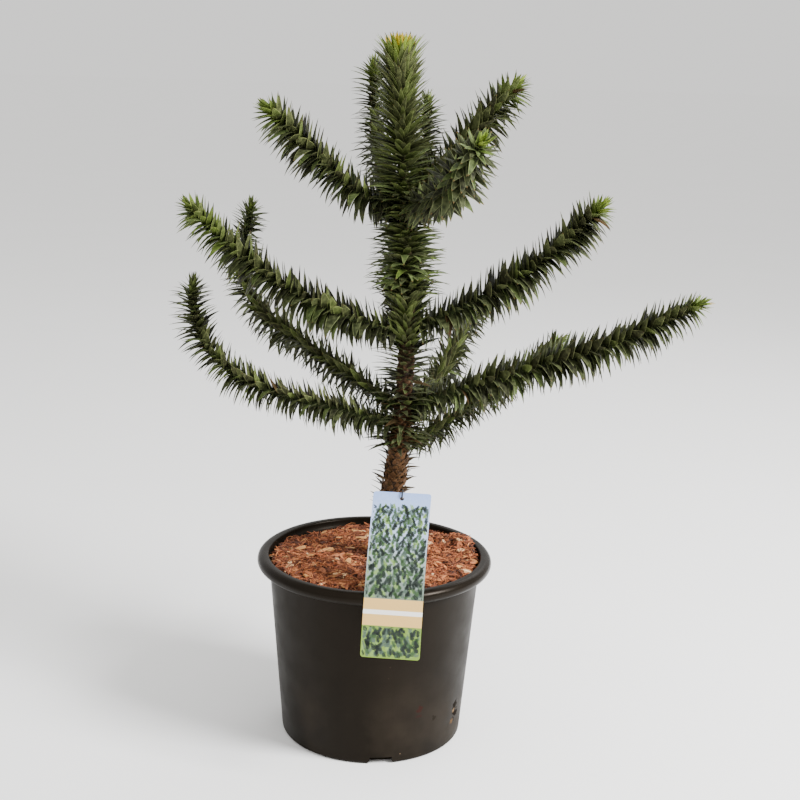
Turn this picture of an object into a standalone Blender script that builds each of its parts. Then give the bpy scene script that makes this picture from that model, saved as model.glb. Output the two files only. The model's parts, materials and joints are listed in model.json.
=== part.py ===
"""A young monkey puzzle tree in a round nursery pot, about one metre tall.

Metres, +Z up. The origin is the centre of the pot's flat underside, and the label card
leans over the rim on the -Y side. The trunk runs whole from the soil to just under the
crown's top. Boughs leave it in three whorls and turn up at their ends. Beyond its short
bare foot, every shoot is one mass of foliage: a stem with stiff three-sided leaves set
round it at the golden angle and fused on.
"""
import math
import random
from collections import namedtuple

import bmesh
import bpy
from mathutils import Vector
from mathutils.bvhtree import BVHTree

GAP = 0.0003                  # between two pieces that touch
SEED = 11                     # of the boughs' leaves
SLEEVE_SEED = 111             # of the trunk's leaves
GOLDEN_ANGLE = math.pi * (3.0 - math.sqrt(5.0))

# The pot is a tapered tub with a rolled rim and three drain notches at its foot.
POT_HEIGHT = 0.270
POT_SIDES = 44
RIM_RADIUS = 0.170
RIM_ROLL = 0.0093             # radius of the rim's half-round edge
RIM_ROLL_STEPS = 5
POT_SMOOTH_BELOW = math.radians(32)
WALL_TOP_RADIUS = 0.152       # outer wall, just under the rim
BASE_RADIUS = 0.132
BASE_CHAMFER = 0.003
WALL = 0.0022
FLOOR = 0.003
NOTCH_COUNT = 3
NOTCH_AZIMUTH = math.radians(-83.0)
NOTCH_WIDTH = 0.038
NOTCH_TOP_WIDTH = 0.031
NOTCH_HEIGHT = 0.008
NOTCH_DEPTH = 0.014           # inwards from the foot's edge

# The soil is flat round the trunk, lumpy beyond, and fuller at the front.
SOIL_TOP = 0.262
SOIL_FLAT_RADIUS = 0.045
SOIL_RINGS = 3
SOIL_LUMP = 0.0028            # height of the lumps, over and under their middle
SOIL_WAVES = (0.088, 0.108, 0.051, 0.065)  # their lengths along X, Y, X and Y
SOIL_FRONT_FILL = 0.003
SOIL_EDGE_DROP = 0.002

# The trunk leans and bows to +X; its radius has a straight taper and a flare at the soil.
CROWN_TOP = 0.985             # top of the leading shoot's stem
TRUNK_TOP = 0.962             # top of the trunk, inside that shoot's foliage
TRUNK_FOOT_X = 0.0085
TRUNK_TIP_X = 0.0172
TRUNK_BOW = 0.0243
TRUNK_BOW_SKEW = 0.39         # above 0 puts the bow's belly under mid height
TRUNK_FOOT_RADIUS = 0.0178
TRUNK_TIP_RADIUS = 0.0052
FLARE_RADIUS = 0.0055
FLARE_HEIGHT = 0.020
TRUNK_SIDES = 10
TRUNK_STEP = 0.030
FLARE_STEP = 0.009
TRUNK_POINT_STEP = 0.010      # between two points of its centreline

# Height on the trunk, azimuth and rise in degrees, length, radius where it leaves the
# trunk. The rise goes from its first value to its last between two shares of the length,
# and the azimuth turns by `sweep`. `parted` is the share at which foliage that turns up
# round a wide gap is parted in two.
Bough = namedtuple("Bough", "name height azimuth sweep rises bend length radius foot leaf parted")
LARGE, SMALL = "large", "small"
BOUGHS = (
    Bough("low_left", 0.462, 184, -10, (14, 124), (0.39, 1.25), 0.402, 0.0066, 0.055, SMALL, 0.66),
    Bough("low_back_left", 0.485, 154, -15, (24, 105), (0.53, 0.89), 0.448, 0.0066, 0.055, SMALL, 0.69),
    Bough("low_right", 0.488, -4, -5, (20, 29), (0.60, 0.85), 0.445, 0.0068, 0.055, LARGE, None),
    Bough("low_back_right", 0.438, 32, -5, (-8, 28), (-0.04, 0.25), 0.312, 0.0060, 0.055, SMALL, None),
    Bough("low_back", 0.490, 62, 0, (-9, 37), (-0.14, 0.64), 0.279, 0.0060, 0.055, SMALL, None),
    Bough("middle_left", 0.596, 188, 0, (10, 46), (-0.15, 1.02), 0.359, 0.0062, 0.045, LARGE, None),
    Bough("middle_right", 0.598, -10, 0, (25, 51), (0.04, 1.13), 0.329, 0.0062, 0.045, LARGE, None),
    Bough("middle_back", 0.600, 93, 0, (20, 55), (0.00, 1.00), 0.280, 0.0058, 0.045, LARGE, None),
    Bough("top_left", 0.768, 186, 0, (18, 43), (0.16, 0.46), 0.238, 0.0050, 0.038, LARGE, None),
    Bough("top_back_right", 0.773, 22, 0, (45, 45), (0.00, 1.00), 0.238, 0.0050, 0.038, LARGE, None),
    Bough("top_front_right", 0.768, -60, 0, (16, 42), (0.23, 0.72), 0.220, 0.0050, 0.038, LARGE, None),
    Bough("top_right", 0.788, 74, 0, (2, 100), (0.12, 0.90), 0.212, 0.0048, 0.055, SMALL, None),
    Bough("top_back_left", 0.758, 112, 0, (28, 92), (0.03, 1.03), 0.261, 0.0048, 0.055, SMALL, None),
)
BOUGH_STEPS = 60
BOUGH_TIP_RADIUS = 0.0030
LIMB_SIDES = 7
LIMB_STEP = 0.020
LIMB_SMOOTH_BELOW = math.radians(50)

# Leaves. `lean` is measured from the shoot to the leaf's inner half, and `curl` is how
# far the outer half turns back towards the shoot's tip.
Leaf = namedtuple("Leaf", "length width keel lean curl")
LEAVES = {
    LARGE: Leaf(0.039, 0.0150, 0.0026, math.radians(66), math.radians(22)),
    SMALL: Leaf(0.031, 0.0120, 0.0022, math.radians(66), math.radians(24)),
    "trunk": Leaf(0.046, 0.0165, 0.0028, math.radians(72), math.radians(24)),
    "dead": Leaf(0.031, 0.0060, 0.0018, math.radians(78), math.radians(16)),
    "leader": Leaf(0.038, 0.0140, 0.0026, math.radians(54), math.radians(18)),
}
LEAF_BEND = 0.42              # where the blade bends, as a share of its length
LEAF_ROOT_WIDTH = 0.34        # width of the sunk root, as a share of the blade's
LEAF_SINK = 0.0050
LEAF_CLEARANCE = 0.0006
LEAF_SPACING = 0.0068         # along a bough, from one leaf to the next
TUFT_LENGTH = 0.045           # the last stretch, where the leaves close up
TUFT_SPACING = 0.0050
TUFT_LEAN = math.radians(27)
TUFT_SCALE = 0.72
LEAN_SPREAD = math.radians(4) # what chance adds to a leaf's lean, either way
TURN_SPREAD = math.radians(7) # and to the angle between two leaves
SCALES = (0.94, 1.04)
LEAF_DROOP = math.radians(14) # leaves under a bough stand off it more, those above less
UPPER_SHORTENING = 0.10       # and those above are shorter by this share
FIRST_LEAF = 0.005            # from the end of a mass's stem to its first leaf
STEM_SIDES = 4
STEM_STEP = 0.034
STEM_THICKENING = 0.0016      # leaf bases, over the bare limb's radius
STEM_TIP_RADIUS = 0.0042

# The trunk's own foliage: from and to as heights, the core's thickness round the trunk,
# the leaf, and the leaf spacing.
Sleeve = namedtuple("Sleeve", "name low high thickness leaf spacing")
SLEEVES = (
    Sleeve("foliage_trunk_foot", 0.356, 0.424, 0.0020, "dead", 0.0050),
    Sleeve("foliage_trunk_low", 0.506, 0.582, 0.0030, "trunk", 0.0035),
    Sleeve("foliage_trunk_high", 0.612, 0.748, 0.0030, "trunk", 0.0029),
    Sleeve("foliage_leader", 0.802, CROWN_TOP, 0.0055, "leader", 0.0028),
)
SLEEVE_SIDES = 7
CROWN_CLOSE = 0.052           # the leader's last stretch, where its leaves close up
TIP_ROUNDING = 0.4            # radius left at a stem's tip, as a share of the stem's

# The label card leans from beside the trunk over the front of the rim.
CARD_WIDTH = 0.080
CARD_LENGTH = 0.2285
CARD_THICKNESS = 0.0008
CARD_TOP = Vector((0.0368, -0.0893, 0.3897))
CARD_HEADING = math.radians(-96.4)
CARD_SLOPES = (math.radians(50), math.radians(70))
CARD_CORNER = 0.004
CORNER_STATIONS = (0.0, 0.1, 0.4)  # where a round corner is cut, as shares of its radius
CARD_STEPS = 20
HOLE_RADIUS = 0.0030
HOLE_SIDES = 10
HOLE_FROM_TOP = 0.0090

# The tie is one loop, through the hole, over the card's top edge and round the trunk.
TIE_RADIUS = 0.0011
TIE_HEIGHT = 0.345
TIE_SIDES = 6
TIE_SMOOTH_BELOW = math.radians(60)
TIE_TURNS = 9                 # straight pieces that hug the trunk
TIE_HUG = math.radians(35)    # how far past its sides they reach, to the front
# Distance down the card and height off its middle, from behind the hole to behind the edge.
TIE_ON_CARD = ((0.0125, -0.0050), (0.0096, -0.0018), (0.0086, 0.0016), (0.0062, 0.0032),
               (0.0018, 0.0034), (-0.0022, 0.0018), (-0.0034, -0.0010), (-0.0014, -0.0042))

COLOURS = {
    "pot_plastic": ((0.018, 0.017, 0.016), 0.42),
    "potting_bark": ((0.200, 0.075, 0.036), 0.95),
    "bark": ((0.115, 0.058, 0.032), 0.90),
    "leaf": ((0.042, 0.080, 0.022), 0.48),
    "dead_leaf": ((0.180, 0.110, 0.050), 0.80),
    "label_print": ((0.330, 0.430, 0.470), 0.35),
    "tie_plastic": ((0.012, 0.012, 0.012), 0.50),
}


def smoothstep(share):
    share = min(max(share, 0.0), 1.0)
    return share * share * (3.0 - 2.0 * share)


def mix(first, last, share):
    return first + (last - first) * share


def spaced(start, end, step):
    """Even stations from start to end, about a step apart, both ends included."""
    count = max(1, round((end - start) / step))
    return [mix(start, end, index / count) for index in range(count + 1)]


class Path:
    """A centreline given at even steps, with a level direction to one side of it."""

    def __init__(self, points, sides, step, axis=None):
        self.points = points
        self.sides = sides
        self.step = step
        self.axis = axis      # set where every cross-section is parallel

    def heading(self, index):
        if self.axis:
            return self.axis
        after = self.points[min(index + 1, len(self.points) - 1)]
        before = self.points[max(index - 1, 0)]
        return (after - before).normalized()

    def at(self, distance):
        """Centre, axis, side and lift of the centreline at a distance from its start."""
        last = len(self.points) - 2
        place = distance / self.step
        index = min(max(int(place), 0), last)
        share = place - index
        centre = self.points[index].lerp(self.points[index + 1], share)
        axis = self.heading(index).lerp(self.heading(index + 1), share).normalized()
        level = self.sides[index].lerp(self.sides[index + 1], share)
        side = (level - axis * level.dot(axis)).normalized()
        return centre, axis, side, axis.cross(side)


def trunk_centre(height):
    share = (height - SOIL_TOP) / (CROWN_TOP - SOIL_TOP)
    lean = mix(TRUNK_FOOT_X, TRUNK_TIP_X, share)
    belly = 1.0 + TRUNK_BOW_SKEW * math.cos(math.pi * share)
    return Vector((lean + TRUNK_BOW * belly * math.sin(math.pi * share), 0.0, height))


def trunk_radius(distance):
    """Radius at a height above the soil."""
    share = distance / (CROWN_TOP - SOIL_TOP)
    flare = FLARE_RADIUS * math.exp(-distance / FLARE_HEIGHT)
    return mix(TRUNK_FOOT_RADIUS, TRUNK_TIP_RADIUS, share) + flare


def trunk_path():
    """The trunk's axis, measured by height above the soil, on to the crown's top."""
    heights = spaced(SOIL_TOP, CROWN_TOP, TRUNK_POINT_STEP)
    points = [trunk_centre(height) for height in heights]
    level, upright = Vector((0.0, 1.0, 0.0)), Vector((0.0, 0.0, 1.0))
    return Path(points, [level] * len(points), heights[1] - heights[0], upright)


def bough_path(bough):
    step = bough.length / BOUGH_STEPS
    points = [trunk_centre(bough.height)]
    sides = []
    for index in range(BOUGH_STEPS):
        share = (index + 0.5) / BOUGH_STEPS
        turn = math.radians(bough.azimuth + bough.sweep * share)
        bend = smoothstep((share - bough.bend[0]) / (bough.bend[1] - bough.bend[0]))
        rise = math.radians(mix(*bough.rises, bend))
        level = Vector((math.cos(turn), math.sin(turn), 0.0))
        points.append(points[-1] + (level * math.cos(rise) + Vector((0, 0, math.sin(rise)))) * step)
        sides.append(Vector((-math.sin(turn), math.cos(turn), 0.0)))
    return Path(points, [sides[0]] + sides, step)


def tube(path, stations, radius_at, sides):
    """Closed tube round a path, as a pair of corners and faces."""
    corners = []
    for station in stations:
        centre, _, side, lift = path.at(station)
        for index in range(sides):
            angle = math.tau * index / sides
            spoke = side * math.cos(angle) + lift * math.sin(angle)
            corners.append(centre + spoke * radius_at(station))
    faces = []
    for ring in range(0, len(corners) - sides, sides):
        for index in range(sides):
            after = (index + 1) % sides
            faces.append((ring + index, ring + after, ring + sides + after, ring + sides + index))
    faces.append(tuple(reversed(range(sides))))
    faces.append(tuple(range(len(corners) - sides, len(corners))))
    return corners, faces


def leaf_solid(frame, angle, root_radius, leaf, lean, scale, grow=0.0):
    """One bent blade: flat above, keeled below, its narrow root inside the stem."""
    centre, axis, side, lift = frame
    outward = side * math.cos(angle) + lift * math.sin(angle)
    across = axis.cross(outward)
    under = outward * math.cos(lean) - axis * math.sin(lean)
    length = leaf.length * scale
    place = centre + outward * root_radius
    corners = []
    sections = ((lean, LEAF_ROOT_WIDTH, LEAF_BEND), (lean - leaf.curl, 1.0, 1.0 - LEAF_BEND))
    for tilt, share, length_share in sections:
        half = across * (leaf.width * scale * share / 2 + grow)
        corners += [place - half - under * grow, place + half - under * grow]
        corners.append(place + under * (leaf.keel * scale * share + grow))
        ahead = axis * math.cos(tilt) + outward * math.sin(tilt)
        place = place + ahead * (length * length_share + grow)
    corners.append(place)
    faces = [(0, 1, 2)]
    for index, after in ((0, 1), (1, 2), (2, 0)):
        faces += [(after, index, index + 3, after + 3), (after + 3, index + 3, 6)]
    return corners, faces


def new_mesh(name, solid, triangulated=True):
    """A mesh from corners and faces, in triangles unless its faces are known to be flat."""
    mesh = bpy.data.meshes.new(name)
    mesh.from_pydata([tuple(corner) for corner in solid[0]], [], solid[1])
    if triangulated:
        shape = bmesh.new()
        shape.from_mesh(mesh)
        bmesh.ops.triangulate(shape, faces=shape.faces)
        shape.to_mesh(mesh)
        shape.free()
    return mesh


def new_object(name, mesh, material, smooth_below=None):
    node = bpy.data.objects.new(name, mesh)
    bpy.context.scene.collection.objects.link(node)
    mesh.materials.clear()
    mesh.materials.append(material)
    if smooth_below is not None:
        mesh.shade_smooth()
        mesh.set_sharp_from_angle(angle=smooth_below)
    return node


def join_by_boolean(node, operation, meshes):
    """Unites the node with loose solids, or cuts them away, and keeps its one main body."""
    tools = bpy.data.collections.new(node.name + "_tools")
    bpy.context.scene.collection.children.link(tools)
    for mesh in meshes:
        tools.objects.link(bpy.data.objects.new(mesh.name, mesh))
    modifier = node.modifiers.new(operation.lower(), "BOOLEAN")
    modifier.operation = operation
    modifier.solver = "EXACT"
    modifier.operand_type = "COLLECTION"
    modifier.collection = tools
    evaluated = node.evaluated_get(bpy.context.evaluated_depsgraph_get())
    result = bpy.data.meshes.new_from_object(evaluated)
    node.modifiers.clear()
    node.data = result
    for tool in list(tools.objects):
        bpy.data.objects.remove(tool)
    bpy.data.collections.remove(tools)
    keep_main_body(result)


def keep_main_body(mesh):
    """Drops loose scraps and fills sealed hollows: only the largest shell stays."""
    shape = bmesh.new()
    shape.from_mesh(mesh)
    waiting = set(shape.faces)
    shells = []
    while waiting:
        shell = {waiting.pop()}
        edge_of_shell = list(shell)
        while edge_of_shell:
            face = edge_of_shell.pop()
            for edge in face.edges:
                for neighbour in edge.link_faces:
                    if neighbour in waiting:
                        waiting.discard(neighbour)
                        shell.add(neighbour)
                        edge_of_shell.append(neighbour)
        shells.append(shell)
    shells.sort(key=len)
    for shell in shells[:-1]:
        bmesh.ops.delete(shape, geom=list(shell), context="FACES")
    bmesh.ops.triangulate(shape, faces=shape.faces)
    shape.to_mesh(mesh)
    shape.free()


def turned(profile, sides):
    """Solid of revolution about Z from an outline of (radius, height), axis to axis."""
    shape = bmesh.new()
    corners = [shape.verts.new((radius, 0.0, height)) for radius, height in profile]
    edges = [shape.edges.new(pair) for pair in zip(corners, corners[1:])]
    bmesh.ops.spin(shape, geom=corners + edges, cent=(0, 0, 0), axis=(0, 0, 1),
                   angle=math.tau, steps=sides, use_duplicate=False)
    bmesh.ops.remove_doubles(shape, verts=shape.verts, dist=0.00001)
    bmesh.ops.recalc_face_normals(shape, faces=shape.faces)
    return shape


def pot_inner_radius(height):
    foot = BASE_RADIUS - WALL
    top = WALL_TOP_RADIUS - WALL
    return mix(foot, top, height / (POT_HEIGHT - 2 * RIM_ROLL))


def build_pot(material):
    roll_radius = RIM_RADIUS - RIM_ROLL
    roll_height = POT_HEIGHT - RIM_ROLL
    under_rim = POT_HEIGHT - 2 * RIM_ROLL
    profile = [(0.0, 0.0), (BASE_RADIUS - BASE_CHAMFER, 0.0), (BASE_RADIUS, BASE_CHAMFER)]
    profile.append((WALL_TOP_RADIUS, under_rim))
    for index in range(RIM_ROLL_STEPS + 1):
        angle = math.pi * (index / RIM_ROLL_STEPS - 0.5)
        profile.append((roll_radius + RIM_ROLL * math.cos(angle),
                        roll_height + RIM_ROLL * math.sin(angle)))
    profile.append((WALL_TOP_RADIUS + WALL, POT_HEIGHT - WALL / 2))
    profile.append((WALL_TOP_RADIUS, POT_HEIGHT - 2 * WALL))
    profile.append((pot_inner_radius(under_rim), under_rim))
    profile += [(pot_inner_radius(FLOOR), FLOOR), (0.0, FLOOR)]
    mesh = bpy.data.meshes.new("pot")
    shape = turned(profile, POT_SIDES)
    shape.to_mesh(mesh)
    shape.free()
    pot = new_object("pot", mesh, material)
    join_by_boolean(pot, "DIFFERENCE", [notch_cutter(index) for index in range(NOTCH_COUNT)])
    pot.data.shade_smooth()
    pot.data.set_sharp_from_angle(angle=POT_SMOOTH_BELOW)


def notch_cutter(index):
    """A wedge with sloping sides, in through the foot's edge and out below it."""
    azimuth = NOTCH_AZIMUTH + math.tau * index / NOTCH_COUNT
    outward = Vector((math.cos(azimuth), math.sin(azimuth), 0.0))
    across = Vector((-math.sin(azimuth), math.cos(azimuth), 0.0))
    overshoot = 0.010
    corners = []
    for height, width in ((-overshoot, NOTCH_WIDTH), (NOTCH_HEIGHT, NOTCH_TOP_WIDTH)):
        for reach in (BASE_RADIUS - NOTCH_DEPTH, BASE_RADIUS + overshoot):
            for half in (-width / 2, width / 2):
                corners.append(outward * reach + across * half + Vector((0, 0, height)))
    faces = [(0, 1, 3, 2), (4, 6, 7, 5), (0, 4, 5, 1), (2, 3, 7, 6), (0, 2, 6, 4), (1, 5, 7, 3)]
    mesh = new_mesh("notch", (corners, faces))
    shape = bmesh.new()
    shape.from_mesh(mesh)
    bmesh.ops.recalc_face_normals(shape, faces=shape.faces)
    shape.to_mesh(mesh)
    shape.free()
    return mesh


def soil_height(x, y):
    """Lumps that fade to the flat disc round the trunk, over a fill to the front."""
    radius = math.hypot(x, y)
    if radius <= SOIL_FLAT_RADIUS + GAP:
        return SOIL_TOP
    share = (radius - SOIL_FLAT_RADIUS) / (WALL_TOP_RADIUS - SOIL_FLAT_RADIUS)
    along, across = x / SOIL_WAVES[0], y / SOIL_WAVES[1]
    lumps = math.sin(math.tau * along) * math.cos(math.tau * across)
    lumps += math.sin(math.tau * (x / SOIL_WAVES[2] - y / SOIL_WAVES[3]))
    fill = SOIL_FRONT_FILL * max(0.0, -y / radius) - SOIL_EDGE_DROP
    return SOIL_TOP + share * fill + SOIL_LUMP / 2 * lumps * math.sin(math.pi * min(share, 1.0))


def build_soil(material):
    edge_height = SOIL_TOP - 2 * SOIL_LUMP
    edge_radius = pot_inner_radius(edge_height) - GAP
    profile = [(0.0, FLOOR + GAP), (pot_inner_radius(FLOOR + GAP) - GAP, FLOOR + GAP)]
    profile.append((edge_radius, edge_height))
    for index in range(SOIL_RINGS + 1):
        share = index / SOIL_RINGS
        profile.append((mix(edge_radius, SOIL_FLAT_RADIUS, share), SOIL_TOP))
    profile.append((0.0, SOIL_TOP))
    shape = turned(profile, POT_SIDES)
    for corner in shape.verts:
        if corner.co.z > SOIL_TOP - GAP:
            corner.co.z = soil_height(corner.co.x, corner.co.y)
    bmesh.ops.triangulate(shape, faces=shape.faces)
    mesh = bpy.data.meshes.new("soil")
    shape.to_mesh(mesh)
    shape.free()
    new_object("soil", mesh, material)


def card_path():
    """The card's middle line, sloping more steeply as it passes the rim."""
    step = CARD_LENGTH / CARD_STEPS
    heading = Vector((math.cos(CARD_HEADING), math.sin(CARD_HEADING), 0.0))
    across = Vector((-math.sin(CARD_HEADING), math.cos(CARD_HEADING), 0.0))
    points = [CARD_TOP.copy()]
    for index in range(CARD_STEPS):
        slope = mix(*CARD_SLOPES, smoothstep((index + 0.5) / CARD_STEPS))
        ahead = heading * math.cos(slope) - Vector((0, 0, math.sin(slope)))
        points.append(points[-1] + ahead * step)
    return Path(points, [across] * len(points), step)


def card_half_width(distance):
    """Half the card's width, less what its rounded corners take."""
    from_end = min(distance, CARD_LENGTH - distance)
    inset = CARD_CORNER - min(from_end, CARD_CORNER)
    return CARD_WIDTH / 2 - CARD_CORNER + math.sqrt(CARD_CORNER ** 2 - inset ** 2)


def build_card(path, material):
    rounding = [CARD_CORNER * share for share in CORNER_STATIONS]
    middle = spaced(CARD_CORNER, CARD_LENGTH - CARD_CORNER, CARD_LENGTH / CARD_STEPS)
    stations = rounding + middle + [CARD_LENGTH - distance for distance in reversed(rounding)]
    corners = []
    for station in stations:
        centre, _, side, lift = path.at(station)
        half = side * card_half_width(station)
        skin = lift * (CARD_THICKNESS / 2)
        corners += [centre + half - skin, centre + half + skin, centre - half + skin, centre - half - skin]
    faces = [(3, 2, 1, 0)]
    for ring in range(0, len(corners) - 4, 4):
        for index in range(4):
            after = (index + 1) % 4
            faces.append((ring + index, ring + after, ring + 4 + after, ring + 4 + index))
    faces.append(tuple(range(len(corners) - 4, len(corners))))
    card = new_object("label_card", new_mesh("label_card", (corners, faces)), material)
    centre, _, side, lift = path.at(HOLE_FROM_TOP)
    drill = Path([centre - lift * CARD_THICKNESS * 2, centre + lift * CARD_THICKNESS * 2],
                 [side] * 2, CARD_THICKNESS * 4)
    hole = new_mesh("hole", tube(drill, (0.0, drill.step), lambda station: HOLE_RADIUS, HOLE_SIDES))
    join_by_boolean(card, "DIFFERENCE", [hole])


def tie_route(card):
    """Corner points of the closed loop: through the hole, over the edge, round the trunk."""
    edge, down, _, lift = card.at(0.0)
    on_card = [edge + down * distance + lift * height for distance, height in TIE_ON_CARD]
    trunk = trunk_centre(TIE_HEIGHT)
    half_turn = (math.pi + 2 * TIE_HUG) / TIE_TURNS / 2
    reach = (trunk_radius(TIE_HEIGHT - SOIL_TOP) + TIE_RADIUS + GAP) / math.cos(half_turn)
    round_trunk = []
    for index in range(TIE_TURNS + 1):
        angle = mix(-TIE_HUG, math.pi + TIE_HUG, index / TIE_TURNS)
        round_trunk.append(trunk + Vector((math.cos(angle), math.sin(angle), 0.0)) * reach)
    out = (on_card[-1] + round_trunk[0]) / 2
    back = (round_trunk[-1] + on_card[0]) / 2
    return on_card + [out] + round_trunk + [back]


def build_tie(card, material):
    route = tie_route(card)
    corners = []
    side = Vector((0.0, 0.0, 1.0))
    for index, point in enumerate(route):
        axis = (route[(index + 1) % len(route)] - route[index - 1]).normalized()
        side = (side - axis * side.dot(axis)).normalized()
        lift = axis.cross(side)
        for corner in range(TIE_SIDES):
            angle = math.tau * corner / TIE_SIDES
            corners.append(point + (side * math.cos(angle) + lift * math.sin(angle)) * TIE_RADIUS)
    faces = []
    for ring in range(len(route)):
        low = ring * TIE_SIDES
        high = (ring + 1) % len(route) * TIE_SIDES
        for corner in range(TIE_SIDES):
            after = (corner + 1) % TIE_SIDES
            faces.append((low + corner, low + after, high + after, high + corner))
    new_object("label_tie", new_mesh("label_tie", (corners, faces)), material, TIE_SMOOTH_BELOW)


def trunk_solid(path, grow=0.0):
    """The trunk, or the same solid grown sideways and up, to cut its neighbours clear."""
    flare_end = 3 * FLARE_STEP
    stations = spaced(0.0, flare_end, FLARE_STEP)
    stations += spaced(flare_end, TRUNK_TOP - SOIL_TOP, TRUNK_STEP)[1:]
    stations[0] += GAP
    stations[-1] += grow
    facet_share = math.cos(math.pi / TRUNK_SIDES)
    return tube(path, stations, lambda station: trunk_radius(station) + grow / facet_share, TRUNK_SIDES)


def limb_radius(bough, distance):
    return mix(bough.radius, BOUGH_TIP_RADIUS, distance / bough.length)


def build_bough(bough, path, trunk, material):
    """The bare foot of one limb, cut to the trunk's curve at its inner end."""
    solid = tube(path, spaced(0.0, bough.foot, LIMB_STEP),
                 lambda distance: limb_radius(bough, distance), LIMB_SIDES)
    limb = new_object("bough_" + bough.name, new_mesh("bough_" + bough.name, solid), material)
    join_by_boolean(limb, "DIFFERENCE", [new_mesh("trunk_clearance", trunk)])
    limb.data.shade_smooth()
    limb.data.set_sharp_from_angle(angle=LIMB_SMOOTH_BELOW)
    return limb


# One mass of foliage: its stem between two distances along a path, and its leaves.
Mass = namedtuple("Mass", "name path start end stem_radius leaf spacing closing sides seed")


def bough_masses():
    """Each bough's foliage, in one mass, or in two where it turns up round a wide gap."""
    masses = []
    for index, bough in enumerate(BOUGHS):
        path = bough_path(bough)
        start = bough.foot + GAP
        cuts = [start, bough.length]
        names = ["foliage_" + bough.name]
        if bough.parted:
            cuts.insert(1, bough.length * bough.parted)
            names.append(names[0] + "_end")

        def stem_radius(distance, bough=bough):
            thick = limb_radius(bough, distance) + STEM_THICKENING
            return max(thick, STEM_TIP_RADIUS)

        for part, name in enumerate(names):
            is_last = part == len(names) - 1
            masses.append(Mass(name, path, cuts[part] + (GAP if part else 0.0), cuts[part + 1],
                               stem_radius, LEAVES[bough.leaf], LEAF_SPACING,
                               TUFT_LENGTH if is_last else 0.0, STEM_SIDES, SEED + 2 * index + part))
    return masses


def sleeve_masses(path):
    masses = []
    for index, sleeve in enumerate(SLEEVES):
        is_leader = sleeve.high > TRUNK_TOP

        def core_radius(distance, thickness=sleeve.thickness):
            return trunk_radius(distance) + thickness

        masses.append(Mass(sleeve.name, path, sleeve.low - SOIL_TOP, sleeve.high - SOIL_TOP,
                           core_radius, LEAVES[sleeve.leaf], sleeve.spacing,
                           CROWN_CLOSE if is_leader else 0.0, SLEEVE_SIDES, SLEEVE_SEED + index))
    return masses


def stem_solid(mass):
    """The stem, its tip rounded off where the shoot ends."""
    if not mass.closing:
        return tube(mass.path, spaced(mass.start, mass.end, STEM_STEP), mass.stem_radius, mass.sides)
    shoulder = mass.end - mass.stem_radius(mass.end)

    def radius_at(distance):
        return mass.stem_radius(distance) * (1.0 if distance <= shoulder else TIP_ROUNDING)

    return tube(mass.path, spaced(mass.start, shoulder, STEM_STEP) + [mass.end], radius_at, mass.sides)


def leaf_places(mass):
    """Distance, angle, lean and scale of each leaf, by the golden angle up the stem."""
    chance = random.Random(mass.seed)
    angle = chance.uniform(0.0, math.tau)
    distance = mass.start + FIRST_LEAF
    places = []
    while distance < mass.end - TUFT_SPACING:
        closed = 0.0
        if mass.closing:
            closed = smoothstep(1.0 - (mass.end - distance) / mass.closing)
        lean = mix(mass.leaf.lean, TUFT_LEAN, closed) + chance.uniform(-LEAN_SPREAD, LEAN_SPREAD)
        scale = mix(1.0, TUFT_SCALE, closed) * chance.uniform(*SCALES)
        places.append((distance, angle, lean, scale))
        angle += GOLDEN_ANGLE + chance.uniform(-TURN_SPREAD, TURN_SPREAD)
        distance += mix(mass.spacing, min(mass.spacing, TUFT_SPACING), closed)
    return places


def clothe(mass, obstacles):
    """The leaves of one mass, less those that would touch anything beside it."""
    leaves = []
    for distance, angle, lean, scale in leaf_places(mass):
        frame = mass.path.at(distance)
        root = max(mass.stem_radius(distance) - LEAF_SINK, 0.0)
        above = frame[2].z * math.cos(angle) + frame[3].z * math.sin(angle)
        lean -= LEAF_DROOP * above
        scale *= 1.0 - UPPER_SHORTENING * max(above, 0.0)
        grown = BVHTree.FromPolygons(*leaf_solid(frame, angle, root, mass.leaf, lean, scale, LEAF_CLEARANCE))
        if not any(grown.overlap(obstacle) for obstacle in obstacles):
            leaves.append(leaf_solid(frame, angle, root, mass.leaf, lean, scale))
    return leaves


def tree_of(solids):
    """One search tree for several solids."""
    corners, faces = [], []
    for solid_corners, solid_faces in solids:
        offset = len(corners)
        corners += solid_corners
        faces += [tuple(index + offset for index in face) for face in solid_faces]
    return BVHTree.FromPolygons(corners, faces)


def node_solid(node):
    corners = [corner.co.copy() for corner in node.data.vertices]
    return corners, [tuple(face.vertices) for face in node.data.polygons]


def build_foliage(trunk_axis, fixed_nodes, trunk, clearance, materials):
    """Every mass: a stem with its leaves, cut clear of the trunk where that runs inside."""
    fixed = [tree_of([node_solid(node)]) for node in fixed_nodes]
    sleeves = sleeve_masses(trunk_axis)
    masses = sleeves + bough_masses()
    taken = {mass.name: tree_of([stem_solid(mass)]) for mass in masses}
    for mass in masses:
        obstacles = fixed + [tree for name, tree in taken.items() if name != mass.name]
        if mass not in sleeves:
            obstacles.append(trunk)
        leaves = clothe(mass, obstacles)
        taken[mass.name] = tree_of([stem_solid(mass)] + leaves)
        material = materials["dead_leaf" if mass.leaf is LEAVES["dead"] else "leaf"]
        node = new_object(mass.name, new_mesh(mass.name, stem_solid(mass)), material)
        join_by_boolean(node, "UNION", [new_mesh("leaf", leaf, False) for leaf in leaves])
        if mass in sleeves:
            join_by_boolean(node, "DIFFERENCE", [new_mesh("trunk_clearance", clearance)])


def new_material(name):
    colour, roughness = COLOURS[name]
    material = bpy.data.materials.new(name)
    material.use_nodes = True
    shader = material.node_tree.nodes["Principled BSDF"]
    shader.inputs["Base Color"].default_value = (*colour, 1.0)
    shader.inputs["Roughness"].default_value = roughness
    shader.inputs["Metallic"].default_value = 0.0
    return material


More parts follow.
